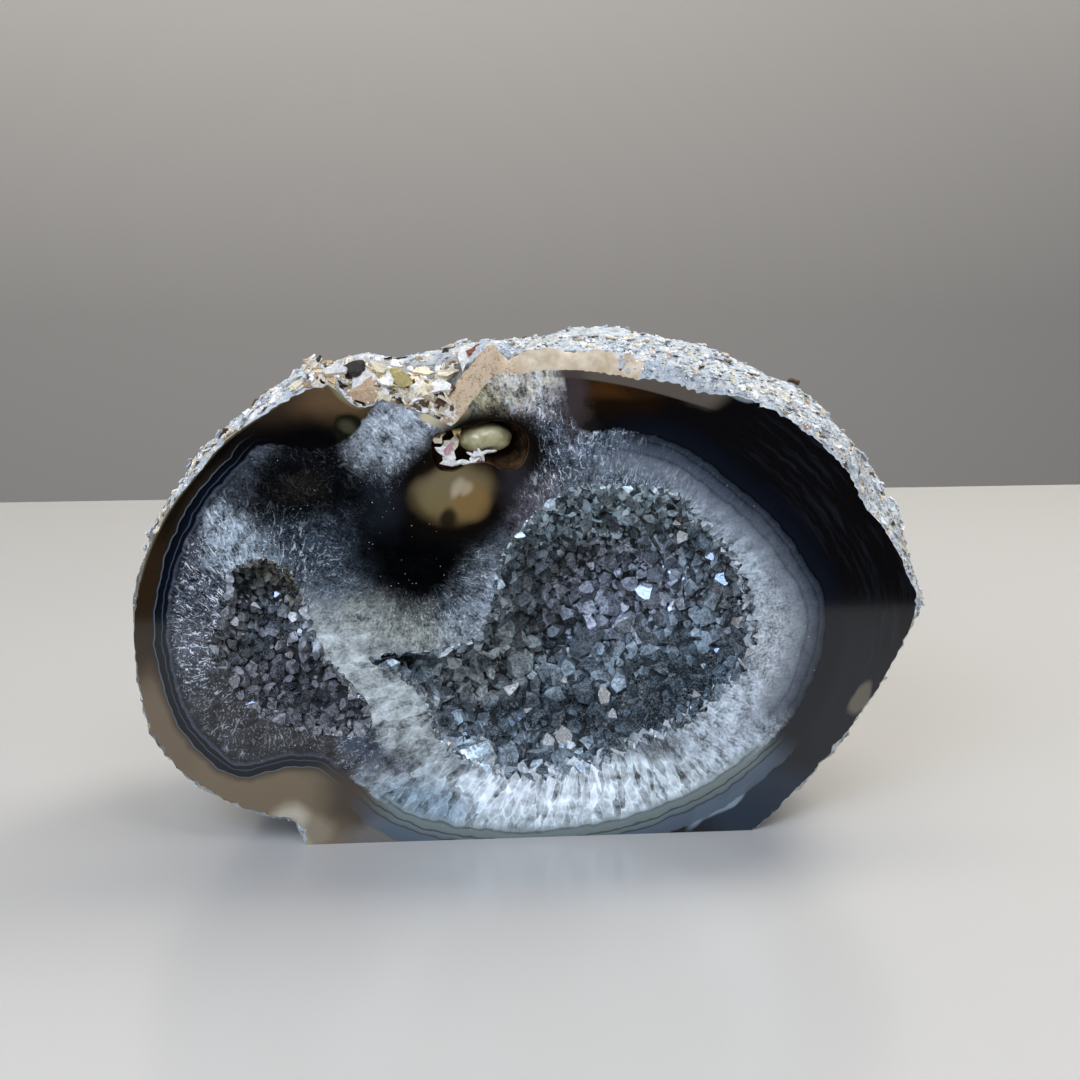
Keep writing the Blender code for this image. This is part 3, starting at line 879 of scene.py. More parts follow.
# where fibres spread from, the oval that they show in, how fine they are round it, and their seed
fibreCentres = (((9, 36), None, 46, 0.0), ((-43, 34), ((-46, 38), (17, 24)), 30, 7.0),
                ((-20, 50), ((-20, 49), (15, 16)), 30, 3.0))
fibreRun = 2.6  # millimetres along a fibre to one step of its noise
# soft clouds of colour inside the quartz: middle, half sizes, colour
quartzClouds = (
    ((-54, 38), (9, 24), "#4b4f58"),
    ((-47.5, 52.5), (7, 5.5), "#a3b1bb", 0.85, -30),
    ((-43, 21), (19, 11), "#2c2b2e"),
    ((-33, 55), (12, 9), "#37414c"),
    ((-36.5, 63.8), (13, 8.2), "#07070a", 0.98, 12),
    ((-38.3, 61.8), (4.5, 3), "#1c1916", 0.8),
    ((-21, 39), (15, 5.0), "#8d948f"),
    ((-11, 44), (6, 10), "#7f8b96"),
    ((-26, 27), (18, 4.6), "#a9b2b2", 1.0, -52),
    ((-21, 70), (8.5, 6.5), "#a3adb5"),
    ((-5.5, 75.0), (5.5, 4.6), "#9e9574", 0.95, 0, 0.8),
    ((0.5, 79.5), (6.5, 5), "#c0bbae"),
    ((3.5, 74.5), (5, 4), "#8d8a8f", 0.8),
    ((-1, 63), (6, 11), "#5d5b62"),
    ((4, 70), (5, 4), "#6d6867"),
    ((-18, 57), (14, 10), "#0b0a0c", 0.97),
    ((-19.0, 48.8), (9.5, 9.0), "#010204", 1.0, 0, 0.9),
    ((11, 69), (14, 5), "#20262f"),
    ((20, 64), (17, 4.5), "#66727f", 1.0, -22),
    ((42.5, 41), (7.5, 20), "#a8b1b8"),
    ((34, 20), (9, 11), "#b4c0ca", 1.0, 30),
    ((34.5, 49.5), (4.5, 7.5), "#aebac4", 0.9, 35),
    ((29, 57), (6, 3.2), "#97a4b0", 0.9, -35),
    # the pale band along the bottom: white quartz of its own, lightened further with painted direct light on the
    # lower face
    ((6, 7.5), (34, 7), "#c8d5da"),
    ((3, 8.5), (14, 4.4), "#dfeaf0"),
    ((-29, 18.5), (4, 3.5), "#343e4e"),
    ((-19, 6), (8, 5), "#8095a2"),
)
# fibres in red, cut crystals in green, needles in blue
grainClouds = (
    ((-52, 42), (12, 22), "#e060ff"),
    ((-46, 52), (9, 8), "#ff60ff"),
    ((-43, 20), (20, 11), "#a0ffa0"),
    ((-33, 54), (13, 7), "#c050d0"),
    ((-36.5, 63.5), (14, 8.5), "#282838"),
    ((-18, 56), (16, 11), "#181828"),
    ((-12, 43), (9, 8), "#c070e0"),
    ((-20, 71), (10, 8), "#b0a0ff"),
    ((1, 74), (9, 14), "#c080ff"),
    ((-24, 26), (16, 6), "#60d0b0", 1.0, -52),
    ((20, 65), (24, 8), "#ff70ff", 1.0, -20),
    ((42, 40), (9, 20), "#705070"),
    ((34, 51), (6, 9), "#a0c0e0", 1.0, 35),
    ((6, 8), (36, 9), "#60f0a0"),
    ((-19.5, 51), (10.5, 9.5), "#04040c", 1.0, 0, 0.7),
)
# clouds in the banded agate round it
agateClouds = (
    ((-62, 36), (8, 28), "#362919"),
    ((-63, 48), (5, 14), "#2c2013"),
    ((-45, 8), (27, 9), "#756751", 1.0, -25),
    ((-29.5, 7.2), (6.5, 5), "#3e342b", 0.85, -30, 1.2),
    ((-62, 20), (6, 11), "#6f604d"),
    ((-39, 3), (5, 3), "#8f8471", 0.8),
    ((-42, 5.2), (3.2, 2.2), "#c3bba6", 0.8, 20, 1.2),
    ((-57, 62), (7, 11), "#17110a"),
    ((-35, 76.5), (12, 6.0), "#352a20", 1.0, 10, 1.2),
    ((-31.5, 76.6), (6, 4.2), "#665038", 0.9, 0, 1.5),
    ((-38, 68.5), (15, 4.5), "#050406", 1.0, 8, 1.2),
    ((-29.8, 71.6), (2.9, 3.0), "#15150f", 0.95, 0, 0.3),
    ((-30.4, 72.4), (1.3, 1.0), "#4c4a38", 0.7, 0, 1.2),
    ((14, 77), (10, 4), "#180e06"),
    ((13, 77.8), (4.5, 1.8), "#432a12", 0.9, -6, 1.2),
    ((19, 77.5), (5, 1.2), "#291a0e", 0.8, -8, 1.2),
    ((29, 76), (3, 1.8), "#3a332e"),
    ((55, 22), (10, 17), "#171a1f"),
    ((57, 23.3), (1.6, 3.4), "#6a6455", 0.9, -30, 0.5),
    ((40, 5), (11, 7), "#1f2c3a"),
    ((33, 4.8), (6.5, 1.1), "#8799a6", 0.85, 38, 0.5),
    ((36, 76.5), (3.6, 1.0), "#8f979b", 0.7, -14, 0.5),
    ((-24, 1), (8, 3), "#6b6864"),
)
# haze over the seams between quartz and agate
hazeClouds = (
    ((6.8, 76.5), (2.6, 6.5), "#453c3c", 0.85, 0, 1.4),
    ((-2.0, 62.5), (3.2, 6.0), "#4d4a52", 0.25, 20, 1.4),
    ((-24.5, 60.5), (3.0, 6.0), "#2b323c", 0.3, 0, 1.6),
)
noduleClouds = (
    ((-13.2, 60.9), (6.5, 5.1), "#5d5036", 1.0, 12, 0.55),
    ((-13.6, 61.9), (5.0, 3.2), "#786d51", 0.85, 0, 0.9),
    ((-10.4, 59.4), (3.0, 2.8), "#81683f", 0.9, 0, 0.9),
    ((-15.8, 59.6), (2.2, 2.4), "#766946", 0.8, 0, 0.9),
    # two small pale spots: painted highlights on the core's polish
    ((-12.2, 61.8), (0.9, 1.3), "#b7ab90", 0.7, -20, 1.2),
    ((-10.7, 61.3), (0.7, 1.1), "#b7ab90", 0.6, 10, 1.2),
    ((-13.6, 56.6), (1.3, 2.2), "#1c150e", 0.9, 0, 0.9),
)
# bands along the quartz's edge: distance outwards, colour, cover
bandSpan = (-9.0, 7.0)
leftBands = (
    (-1.6, "#131419", 0.0), (-0.6, "#14151b", 0.8), (-0.12, "#3b4353", 0.8), (0.08, "#3b4353", 0.8),
    (0.25, "#0c0e14", 1.0), (0.75, "#0b0e15", 1.0), (0.9, "#414e63", 1.0), (1.02, "#0e1119", 1.0),
    (2.0, "#07090e", 1.0), (2.12, "#5c6b78", 1.0), (2.3, "#2a2118", 0.7), (3.4, "#2a2118", 0.0),
)
rightBands = (
    (-8.5, "#868e96", 0.0), (-5.6, "#7b838c", 0.7), (-3.7, "#5e6570", 0.9), (-3.3, "#39404a", 0.9),
    (-2.9, "#4a515c", 0.9), (-1.6, "#363e4a", 0.95), (-1.3, "#1d232d", 0.95), (-0.9, "#2e3641", 0.95),
    (-0.2, "#20262f", 1.0),
    (0.0, "#050609", 1.0), (0.4, "#0f141d", 1.0), (2.4, "#0b0f17", 0.9), (4.5, "#0b0f18", 0.0),
)
bottomBands = (
    (-2.2, "#8d9a9b", 0.0), (-1.2, "#8d9a9b", 0.8), (-0.9, "#4c585a", 0.9), (-0.5, "#76827f", 1.0),
    (0.5, "#6d7977", 1.0), (0.75, "#2f383e", 1.0), (1.0, "#6d7977", 0.95), (1.6, "#5d6a70", 0.9),
    (1.75, "#2a343a", 0.9), (2.0, "#556370", 0.95), (4.3, "#4c5965", 0.9), (4.5, "#4c5965", 0.0),
)
# each family with the oval that it shows in
bandFamilies = (
    (leftBands, ((-62, 36), (38, 34))),
    (rightBands, ((52, 52), (44, 34))),
    (bottomBands, ((12, -2), (42, 24))),
)
# near and far edge of a strip along the rim, where it shows, colour, strength
rimStrips = (
    # painted reflection: the grey strip along the top edge
    (-4.5, -4.2, ((19, 80), (15, 8)), "#5f574d", 1.0),
    (-0.9, -0.3, ((-50, 66), (26, 22)), "#8a8460", 0.75),
    (-0.7, -0.2, ((-50, 20), (24, 24)), "#1a1d14", 0.85),
    (-1.6, -0.5, ((-38, 1), (6, 5)), "#a79f88", 0.8),
    (-1.9, -1.5, ((-14, 73), (4.5, 3.2)), "#cfc2a0", 1.0),
    (-0.9, -0.4, ((-5, 79), (8, 6)), "#b8a466", 1.0),
)


# the nodule's cream skin, ground smooth along the top edge: chalky and even, with pores by the notch
def groundEdgeStone():
    made, add, sketch = startMaterial("groundEdgeSkin")
    grain = add("TexNoise", {"Scale": 0.5, "Detail": 3.0, "Vector": sketch})
    colour = add("ValToRGB", {"Fac": grain}, stops=((0.35, "#bda98a"), (0.65, "#dccdb2")))
    colour = clouded(add, colour, sketch, (((-9, 78), (7, 8), "#c4a986", 0.8, 40, 0.6),))
    fine = add("TexNoise",
               {"Scale": 1.7, "Detail": 4.0, "Roughness": 0.75, "Distortion": 0.8, "Vector": sketch})
    pore = add("MapRange", (fine, 0.52, 0.62, 0.0, 0.85))
    porous = insideOval(add, sketch, (-9, 78), (7, 8))
    pore = add("Math", (pore, porous), operation="MULTIPLY")
    colour = add("Mix", {0: pore, 6: colour, 7: linear("#7d6450")}, data_type="RGBA")
    bump = add("Bump", {"Strength": 0.4, "Distance": 0.0002, "Height": fine})
    return surfaced(made, {"Base Color": colour, "Roughness": 0.5, "Normal": bump})


# the nodule's natural weathered skin: chalky white and cream flakes over blue-grey, dark in the cracks
def naturalRind():
    made, add, sketch = startMaterial("weatheredRind")
    stretched = add("VectorMath", (sketch, (0.8, 1.3, 0.8)), operation="MULTIPLY")
    patch = add("TexNoise", {"Scale": 0.16, "Detail": 2.0, "Roughness": 0.6, "Vector": sketch})
    streak = add("TexNoise", {"Scale": 0.75, "Detail": 5.0, "Roughness": 0.82, "Vector": stretched})  # 1.3 mm
    speck = add("TexNoise", {"Scale": 2.4, "Detail": 3.0, "Roughness": 0.8, "Vector": sketch})  # 0.4 mm grains
    base = add("ValToRGB", {"Fac": streak}, stops=(
        (0.34, "#4b4843"), (0.40, "#8f979e"), (0.45, "#b4c0c9"), (0.52, "#c9d3da"), (0.58, "#d9d7ce"),
        (0.66, "#f3f1eb")))
    tan = add("MapRange", (patch, 0.54, 0.66, 0.0, 0.45))
    colour = add("Mix", {0: tan, 6: base, 7: linear("#d8bf98")}, data_type="RGBA", blend_type="MULTIPLY")
    side = add("SeparateXYZ", (sketch,)).outputs["X"]
    dull = add("MapRange", (side, -54.0, -63.0, 0.0, 0.8))
    colour = add("Mix", {0: dull, 6: colour, 7: linear("#8a7f6a")}, data_type="RGBA", blend_type="MULTIPLY")
    # the broken skin in the notch is dark between its flakes
    broken = insideOval(add, sketch, (-18.5, 79), (9.5, 6), low=1.2, high=0.8)
    back = add("SeparateXYZ", (sketch,)).outputs["Y"]
    back = add("MapRange", (back, 24.0, 12.0, 0.0, 0.75))
    broken = add("Math", (broken, back), operation="MULTIPLY")
    colour = add("Mix", {0: broken, 6: colour, 7: linear("#7a6450")}, data_type="RGBA", blend_type="MULTIPLY")
    relief = add("Attribute", attribute_name="relief").outputs["Fac"]
    crack = add("MapRange", (relief, -0.15, -0.4, 0.0, 0.85))
    colour = add("Mix", {0: crack, 6: colour, 7: linear("#332920")}, data_type="RGBA")
    dark = add("MapRange", (speck, 0.63, 0.71, 0.0, 0.7))
    colour = add("Mix", {0: dark, 6: colour, 7: linear("#453d33")}, data_type="RGBA")
    bump = add("Bump", {"Strength": 0.9, "Distance": 0.0004, "Height": speck})
    return surfaced(made, {"Base Color": colour, "Roughness": 0.85, "Normal": bump})


# the loose crust on the rind: each flake its own mineral colour, chalky, with dark grains
def crustFlakes():
    made, add, sketch = startMaterial("flakedCrust")
    kindOf = add("Attribute", attribute_name="facet").outputs["Fac"]
    ramp = add("ValToRGB", {"Fac": kindOf}, stops=[
        (k / len(crustColours), shade) for k, shade in enumerate(crustColours.values())])
    ramp.color_ramp.interpolation = "CONSTANT"
    within = add("Math", (kindOf, float(len(crustColours))), operation="MULTIPLY")
    within = add("Math", (within,), operation="FRACT")
    light = add("MapRange", (within, 0.0, 1.0, 0.72, 1.15))
    grain = add("TexNoise", {"Scale": 1.7, "Detail": 5.0, "Roughness": 0.75, "Vector": sketch})
    patchy = add("MapRange", (grain, 0.3, 0.7, 0.62, 1.25))
    light = add("Math", (light, patchy), operation="MULTIPLY")
    colour = add("VectorMath", {0: ramp, "Scale": light}, operation="SCALE")
    stain = add("MapRange", (grain, 0.66, 0.76, 0.0, 0.6))
    colour = add("Mix", {0: stain, 6: colour, 7: linear("#4b3c2c")}, data_type="RGBA")
    bump = add("Bump", {"Strength": 0.7, "Distance": 0.0003, "Height": grain})
    return surfaced(made, {"Base Color": colour, "Roughness": 0.8, "Normal": bump})


crustColours = {
    "white": "#f1efea", "cream": "#e3d8bd", "beige": "#cbae8c", "blueGrey": "#c7ced3", "tan": "#ad9470",
    "brown": "#5b4433", "rust": "#86452a", "black": "#26211d", "pink": "#bd8f97", "yellow": "#cbbb7c",
}


# the pit under the notch: dark chestnut stone, glossy where the core broke away
def chestnutPit():
    made, add, sketch = startMaterial("chestnutPitWall")
    cloud = add("TexNoise", {"Scale": 0.35, "Detail": 4.0, "Vector": sketch})
    colour = add("ValToRGB", {"Fac": cloud}, stops=((0.35, "#1a120c"), (0.7, "#5e4630")))
    return surfaced(made, {"Base Color": colour, "Roughness": 0.18})


# the small nodule's core: waxy greenish cream chalcedony, rubbed smooth
def waxyCore():
    made, add, sketch = startMaterial("waxyChalcedonyCore")
    cloud = add("TexNoise", {"Scale": 0.3, "Detail": 3.0, "Vector": sketch})
    colour = add("ValToRGB", {"Fac": cloud}, stops=((0.35, "#857e58"), (0.62, "#c3bd95")))
    return surfaced(made, {"Base Color": colour, "Roughness": 0.22, "IOR": 1.54})


# the base, sawn but not polished: matt, with the agate's greys dulled by saw marks
def sawnStone():
    made, add, sketch = startMaterial("sawnBaseStone")
    cloud = add("TexNoise", {"Scale": 0.12, "Detail": 4.0, "Vector": sketch})
    colour = add("ValToRGB", {"Fac": cloud}, stops=((0.35, "#54504b"), (0.65, "#8b8f90")))
    saw = add("TexWave", {"Scale": 0.6, "Distortion": 1.5, "Vector": sketch},
              bands_direction="Y").outputs["Fac"]
    bump = add("Bump", {"Strength": 0.2, "Distance": 0.0001, "Height": saw})
    return surfaced(made, {"Base Color": colour, "Roughness": 0.6, "Normal": bump})


# milky quartz of a hollow's wall, behind the points
def hollowQuartz():
    made, add, sketch = startMaterial("milkyQuartzWall")
    cloud = add("TexNoise", {"Scale": 0.8, "Detail": 4.0, "Vector": sketch})
    colour = add("ValToRGB", {"Fac": cloud}, stops=((0.3, "#5f6a72"), (0.7, "#c2ccd2")))
    return surfaced(made, {"Base Color": colour, "Roughness": 0.25})


# smoky quartz points: glassy flat faces, each painted lighter or darker than the next as painted light and
# shade, the brightest faces painted glints
def smokyQuartz(name, base, clouds):
    made, add, sketch = startMaterial(name)
    flat = add("VectorMath", (sketch, (1, 0, 1)), operation="MULTIPLY")
    slow = add("TexNoise", {"Scale": 0.2, "Detail": 3.0, "Vector": sketch}).outputs["Color"]
    bent = add("VectorMath", (slow, (8, 0, 8), (-4, 0, -4)), operation="MULTIPLY_ADD")
    bent = add("VectorMath", (flat, bent), operation="ADD")
    colour = clouded(add, base, bent, clouds)
    # each face's number sets its painted light and shade: most faces dim, the few highest painted near white as
    # glints
    facet = add("Attribute", attribute_name="facet").outputs["Fac"]
    light = add("Math", (facet, 1.9), operation="POWER")
    light = add("MapRange", (light, 0.0, 0.8, 0.1, 2.9), clamp=False)
    # a fine cloudiness through the points, partly their own haze and partly painted inner reflections
    haze = add("TexNoise", {"Scale": 1.1, "Detail": 2.0, "Roughness": 0.6, "Distortion": 1.0, "Vector": sketch})
    mist = add("MapRange", (haze, 0.36, 0.64, 0.45, 1.6))
    light = add("Math", (light, mist), operation="MULTIPLY")
    colour = add("VectorMath", {0: colour, "Scale": light}, operation="SCALE")
    # thin white lines inside the points: painted inner reflections
    innerReflectionLines = add("TexNoise",
                {"Scale": 1.0, "Detail": 2.0, "Roughness": 0.55, "Distortion": 2.4, "Vector": sketch})
    off = add("Math", (innerReflectionLines, 0.5), operation="SUBTRACT")
    off = add("Math", (off,), operation="ABSOLUTE")
    line = add("MapRange", (off, 0.024, 0.008, 0.0, 0.75))
    line = add("Math", (line, mist), operation="MULTIPLY")
    colour = add("Mix", {0: line, 6: colour, 7: linear("#b9c8d4")}, data_type="RGBA")
    return surfaced(made, {"Base Color": colour, "Roughness": 0.05, "IOR": 1.54, "Transmission Weight": 0.1})


# the crust's foot between the points, in their shade: dull dark quartz
def crustFoot():
    made, add, sketch = startMaterial("shadedQuartzFoot")
    cloud = add("TexNoise", {"Scale": 1.4, "Detail": 5.0, "Vector": sketch})
    colour = add("ValToRGB", {"Fac": cloud}, stops=((0.35, "#101315"), (0.7, "#2c343a")))
    return surfaced(made, {"Base Color": colour, "Roughness": 0.7})


# clear quartz points that the saw left standing along the mouth: glassy, bluish white, some misty; each face
# painted a little lighter or darker as painted light and shade
def clearQuartz():
    made, add, sketch = startMaterial("clearQuartzPoints")
    # each face's number sets a painted light and shade of its own
    facet = add("Attribute", attribute_name="facet").outputs["Fac"]
    light = add("MapRange", (facet, 0.1, 0.9, 0.7, 1.35))
    mist = add("TexNoise", {"Scale": 1.6, "Detail": 2.5, "Roughness": 0.7, "Vector": sketch})
    mist = add("MapRange", (mist, 0.35, 0.65, 0.7, 1.2))
    light = add("Math", (light, mist), operation="MULTIPLY")
    colour = clouded(add, "#dbe4ea", sketch, toothClouds)
    colour = add("VectorMath", {0: colour, "Scale": light}, operation="SCALE")
    return surfaced(made, {"Base Color": colour, "Roughness": 0.06, "IOR": 1.54, "Transmission Weight": 0.3})


toothClouds = (
    ((8, 62), (22, 7), "#7f8c97"),
    ((-10, 44), (9, 14), "#8a949b"),
    ((-20, 32), (8, 8), "#a9b0ae"),
)
mainClouds = (
    ((15, 40), (14, 10), "#9a9da8", 0.8),
    ((31, 22), (13, 8), "#2c3840", 0.9, 30),
    ((36.5, 40), (3, 10), "#2e2a26", 0.8),
    ((10, 56), (18, 8), "#b9c9d2", 0.9),
    ((-6, 27), (10, 9), "#a6afb3", 0.85),
    ((6, 18), (20, 3.6), "#262f36", 0.85),
    ((-12, 15.5), (4, 3.5), "#a9b8c2", 0.7),
    ((29, 50), (5, 3), "#2a343b", 0.7, -30),
)
sideClouds = (
    ((-42, 47), (7, 5), "#6e6648", 0.9),
    ((-38, 36.5), (3, 3.5), "#b3bec6", 0.8),
    ((-48, 40), (6, 9), "#7c828a", 0.7),
    ((-40, 26), (12, 6), "#545158", 0.7),
)


# crystals
# steepness: the tip's faces from the level, as on real quartz; jut: how far these stand out, by turns
crystalKinds = {"count": 9, "seed": 5, "steepness": 51.8, "length": 4.0, "jut": ((-0.22, 0.05), (0.0, 0.28))}


# a template's points and faces, and the piece itself taken away
def meshOf(piece):
    kept = ([v.co.copy() for v in piece.data.vertices], [tuple(p.vertices) for p in piece.data.polygons])
    bpy.data.objects.remove(piece)
    return kept


# quartz points of radius 1 with their middle on z: six sides and a tip cut by six slanting faces
def crystalTemplates():
    draw = random.Random(crystalKinds["seed"])
    templates = []
    for kind in range(crystalKinds["count"]):
        piece = primitive("cylinder", f"quartzPoint{kind}", vertices=6, radius=1.0,
                          depth=crystalKinds["length"], location=(0, 0, 0), end_fill_type="NGON")
        bpy.ops.object.mode_set(mode="EDIT")
        slope = math.radians(crystalKinds["steepness"])
        for k in range(6):
            turn = math.radians(60 * k)
            outward = Vector((math.sin(slope) * math.cos(turn), math.sin(slope) * math.sin(turn),
                              math.cos(slope)))
            reach = 1.0 + draw.uniform(*crystalKinds["jut"][k % 2])
            bpy.ops.mesh.select_all(action="SELECT")
            bpy.ops.mesh.bisect(plane_co=outward * reach, plane_no=outward, use_fill=True, clear_outer=True)
        bpy.ops.mesh.select_all(action="SELECT")
        bpy.ops.mesh.normals_make_consistent(inside=False)
        bpy.ops.object.mode_set(mode="OBJECT")
        templates.append(meshOf(piece))
    return templates


def liningTrace(radius, depth, steps=60):
    trace = [(0.0, 1.0, 0.0)]
    for step in range(1, steps + 1):
        share = 1 - step / steps
        width = profileWidth(share)
        last = trace[-1]
        run = math.hypot((last[1] - share) * depth, (width - last[2]) * radius)
        trace.append((last[0] + run, share, width))
    return trace


# a point on the wall of a hollow at a turn and a share of its depth, moved in from the stone
def liningSpot(reach, hollow, turn, share, inset):
    angle = 2 * math.pi * turn
    i = turn * len(reach)
    low = int(i) % len(reach)
    radius = reach[low] + (reach[(low + 1) % len(reach)] - reach[low]) * (i - int(i)) - inset
    wide = radius * profileWidth(share)
    middle = hollow["middle"]
    return Vector((middle[0] + wide * math.cos(angle), share * (hollow["depth"] - inset),
                   middle[1] + wide * math.sin(angle)))


# gathers copies of templates into one mesh, each turned to an axis and sunk along it; a face's shade is
# the copy's own, varied from face to face: on quartz points it is painted light and shade, on the crust its
# colour
class Cluster:

    def __init__(self, templates):
        self.templates = templates
        self.points, self.faces, self.facets = [], [], []

    def add(self, draw, spot, axis, radius, stretch, sink, turn=None, squash=None, shade=None, vary=0.55):
        points, faces = self.templates[draw.randrange(len(self.templates))]
        spin = Matrix.Rotation(draw.uniform(0, math.tau), 3, "Z")
        if turn is None:
            turn = axis.normalized().to_track_quat("Z", "Y").to_matrix() @ spin
        first = len(self.points)
        squash = draw.uniform(0.75, 1.0) if squash is None else squash
        shade = draw.random() if shade is None else shade
        for p in points:
            p = turn @ Vector((p.x, p.y * squash, p.z * stretch))
            self.points.append(place(*(spot + p * radius - axis.normalized() * sink)))
        for face in faces:
            self.faces.append([first + i for i in face])
            self.facets.append((1 - vary) * shade + vary * draw.random())

    def made(self, name, material):
        piece = fromPoints(name, self.points, self.faces)
        shadeFaces(piece, self.facets)
        clad(piece, material)
        return piece


druses = {
    "cell": 3.2,  # size of the cells in which neighbours are looked for
    "closeness": 0.46,  # how near two points may stand, as a share of their spacings
    # spacing in millimetres at each angle; passes: how many tries, how much of the spacing, lean of the points
    "main": {"spacing": ((0, 2.1), (60, 1.6), (110, 1.4), (150, 1.8), (200, 2.2), (260, 2.5), (320, 2.2)),
             "passes": ((4000, 1.3, 0.7), (16000, 0.9, 0.9), (26000, 0.62, 1.0), (26000, 0.42, 1.1)), "seed": 31,
             "mirrors": ((-4.2, 33.8, 2.6), (22.8, 40.0, 2.6), (26.1, 43.4, 1.9), (34.0, 41.2, 2.2),
                         (19.8, 41.9, 1.6), (-10.1, 11.5, 2.3), (-3.4, 48.0, 1.2), (11.0, 52.0, 1.2))},
    "side": {"spacing": ((0, 1.5), (90, 1.3), (180, 1.4), (270, 1.5)),
             "passes": ((1500, 1.5, 0.45), (6000, 1.0, 0.6), (9000, 0.62, 0.8)), "seed": 32},
}


def buildDruse(which, name, templates, made, foot):
    hollow, settings = hollows[which], druses[which]
    draw = random.Random(settings["seed"])
    reach = radiiRound(hollow["mouth"], hollow["middle"], 360, bowl["growth"])
    inset = bowl["lining"]
    heart = Vector((hollow["middle"][0], hollow["depth"] * 0.35, hollow["middle"][1]))
    cluster = Cluster(templates)
    trace = liningTrace(sum(reach) / len(reach), hollow["depth"])
    runs = [step[0] for step in trace]
    taken, cell = {}, druses["cell"]
    for tries, coarse, leanMost in settings["passes"]:
        for _ in range(tries):
            # evenly over the wall: a run along it from its deepest point, kept as often as it is wide there
            turn, run = draw.random(), draw.random() * trace[-1][0]
            k = bisect.bisect_right(runs, run) - 1
            part = (run - runs[k]) / (runs[k + 1] - runs[k])
            share = trace[k][1] + (trace[k + 1][1] - trace[k][1]) * part
            if draw.random() > trace[k][2] + (trace[k + 1][2] - trace[k][2]) * part:
                continue
            spot = liningSpot(reach, hollow, turn, share, inset)
            spacing = coarse * around(settings["spacing"], 360 * turn) * draw.uniform(0.8, 1.25)
            key = tuple(int(math.floor(c / cell)) for c in spot)
            near = [other for dx in (-1, 0, 1) for dy in (-1, 0, 1) for dz in (-1, 0, 1)
                    for other in taken.get((key[0] + dx, key[1] + dy, key[2] + dz), ())]
            if any((spot - other).length < druses["closeness"] * (spacing + gap) for other, gap in near):
                continue
            taken.setdefault(key, []).append((spot, spacing))
            ahead = liningSpot(reach, hollow, (turn + 0.004) % 1, share, inset)
            deeper = liningSpot(reach, hollow, turn, min(share + 0.02, 0.999), inset)
            inward = (ahead - spot).cross(deeper - spot)
            if inward.length < 1e-9:
                inward = Vector((0, -1, 0))
            if inward.dot(heart - spot) < 0:
                inward = -inward
            lean = anyWay(draw) * leanMost
            axis = (inward.normalized() + lean).normalized()
            radius = spacing * draw.uniform(0.55, 0.72)
            # vary 0.8 lets each face's painted light and shade stray far from its point's own
            cluster.add(draw, spot, axis, radius, draw.uniform(0.95, 1.3), draw.uniform(0.0, 0.5) * radius,
                        vary=0.8)
    for x, z, size in settings.get("mirrors", ()):
        addMirror(cluster, draw, hollow, reach, x, z, size)
    crystals = cluster.made(f"{name}Points", made)
    lining = liningShell(f"{name}Lining", hollow, reach)
    clad(lining, foot)
    druse = joined([crystals, lining], name)
    keepBehindFace(druse)
    print(f"{name}: {sum(len(spots) for spots in taken.values())} crystals, {triangleCount(druse)} triangles")
    return druse


# a point turned so that one of its faces mirrors the glint lamp to the front, as the blue ones do
def addMirror(cluster, draw, hollow, reach, x, z, size):
    eye = Vector(cameraAt)
    lamp = Vector(lamps["glintLamp"][0]) / millimetre + Vector((middleX, middleY, 0))
    ray = Vector((x, 10.0, z)) - eye
    depth = 2.0
    while depth < hollow["depth"] - 3:
        spot = eye + ray * ((depth - eye.y) / ray.y)
        angle = degreesRound(spot.x, spot.z, hollow["middle"]) % 360
        wide = (reach[int(angle) % 360] - bowl["lining"] - 1.2) * profileWidth(depth / hollow["depth"])
        if math.hypot(spot.x - hollow["middle"][0], spot.z - hollow["middle"][1]) > wide:
            break
        depth += 0.25
    normal = ((eye - spot).normalized() + (lamp - spot).normalized()).normalized()
    slope = math.radians(crystalKinds["steepness"])
    beside = normal.orthogonal().normalized()
    beside.rotate(Matrix.Rotation(draw.uniform(0, math.tau), 3, normal))
    axis = normal.copy()
    axis.rotate(Matrix.Rotation(slope, 3, beside))
    along = (normal - axis * math.cos(slope)) / math.sin(slope)
    turn = Matrix((along, axis.cross(along), axis)).transposed()
    # shade 0.7 paints this point's faces brighter than most, a painted highlight over the real mirroring
    cluster.add(draw, spot, axis, size, 1.0, -0.4 * size, turn=turn, squash=1.0, shade=0.7)


def triangleCount(piece):
    return sum(len(polygon.vertices) - 2 for polygon in piece.data.polygons)


# a closed shell for the points to stand on
def liningShell(name, hollow, reach, columns=180):
    shares = (0.012, 0.14, 0.32, 0.52, 0.70, 0.84, 0.94, 1.0)
    insets = (0.35, bowl["lining"] + 0.1)
    order = [(s, insets[0]) for s in reversed(shares)] + [(s, insets[1]) for s in shares]

    def spotAt(column, row):
        share, inset = order[row]
        return place(*liningSpot(reach, hollow, column / columns, share, inset))

    return merged(shapedGrid(name, columns, len(order) - 1, spotAt))


# flattens whatever passes the polished face's plane, as the saw cut it
def keepBehindFace(piece, behind=0.06):
    front = place(0, behind, 0).y
    for vert in piece.data.vertices:
        vert.co.y = max(vert.co.y, front)


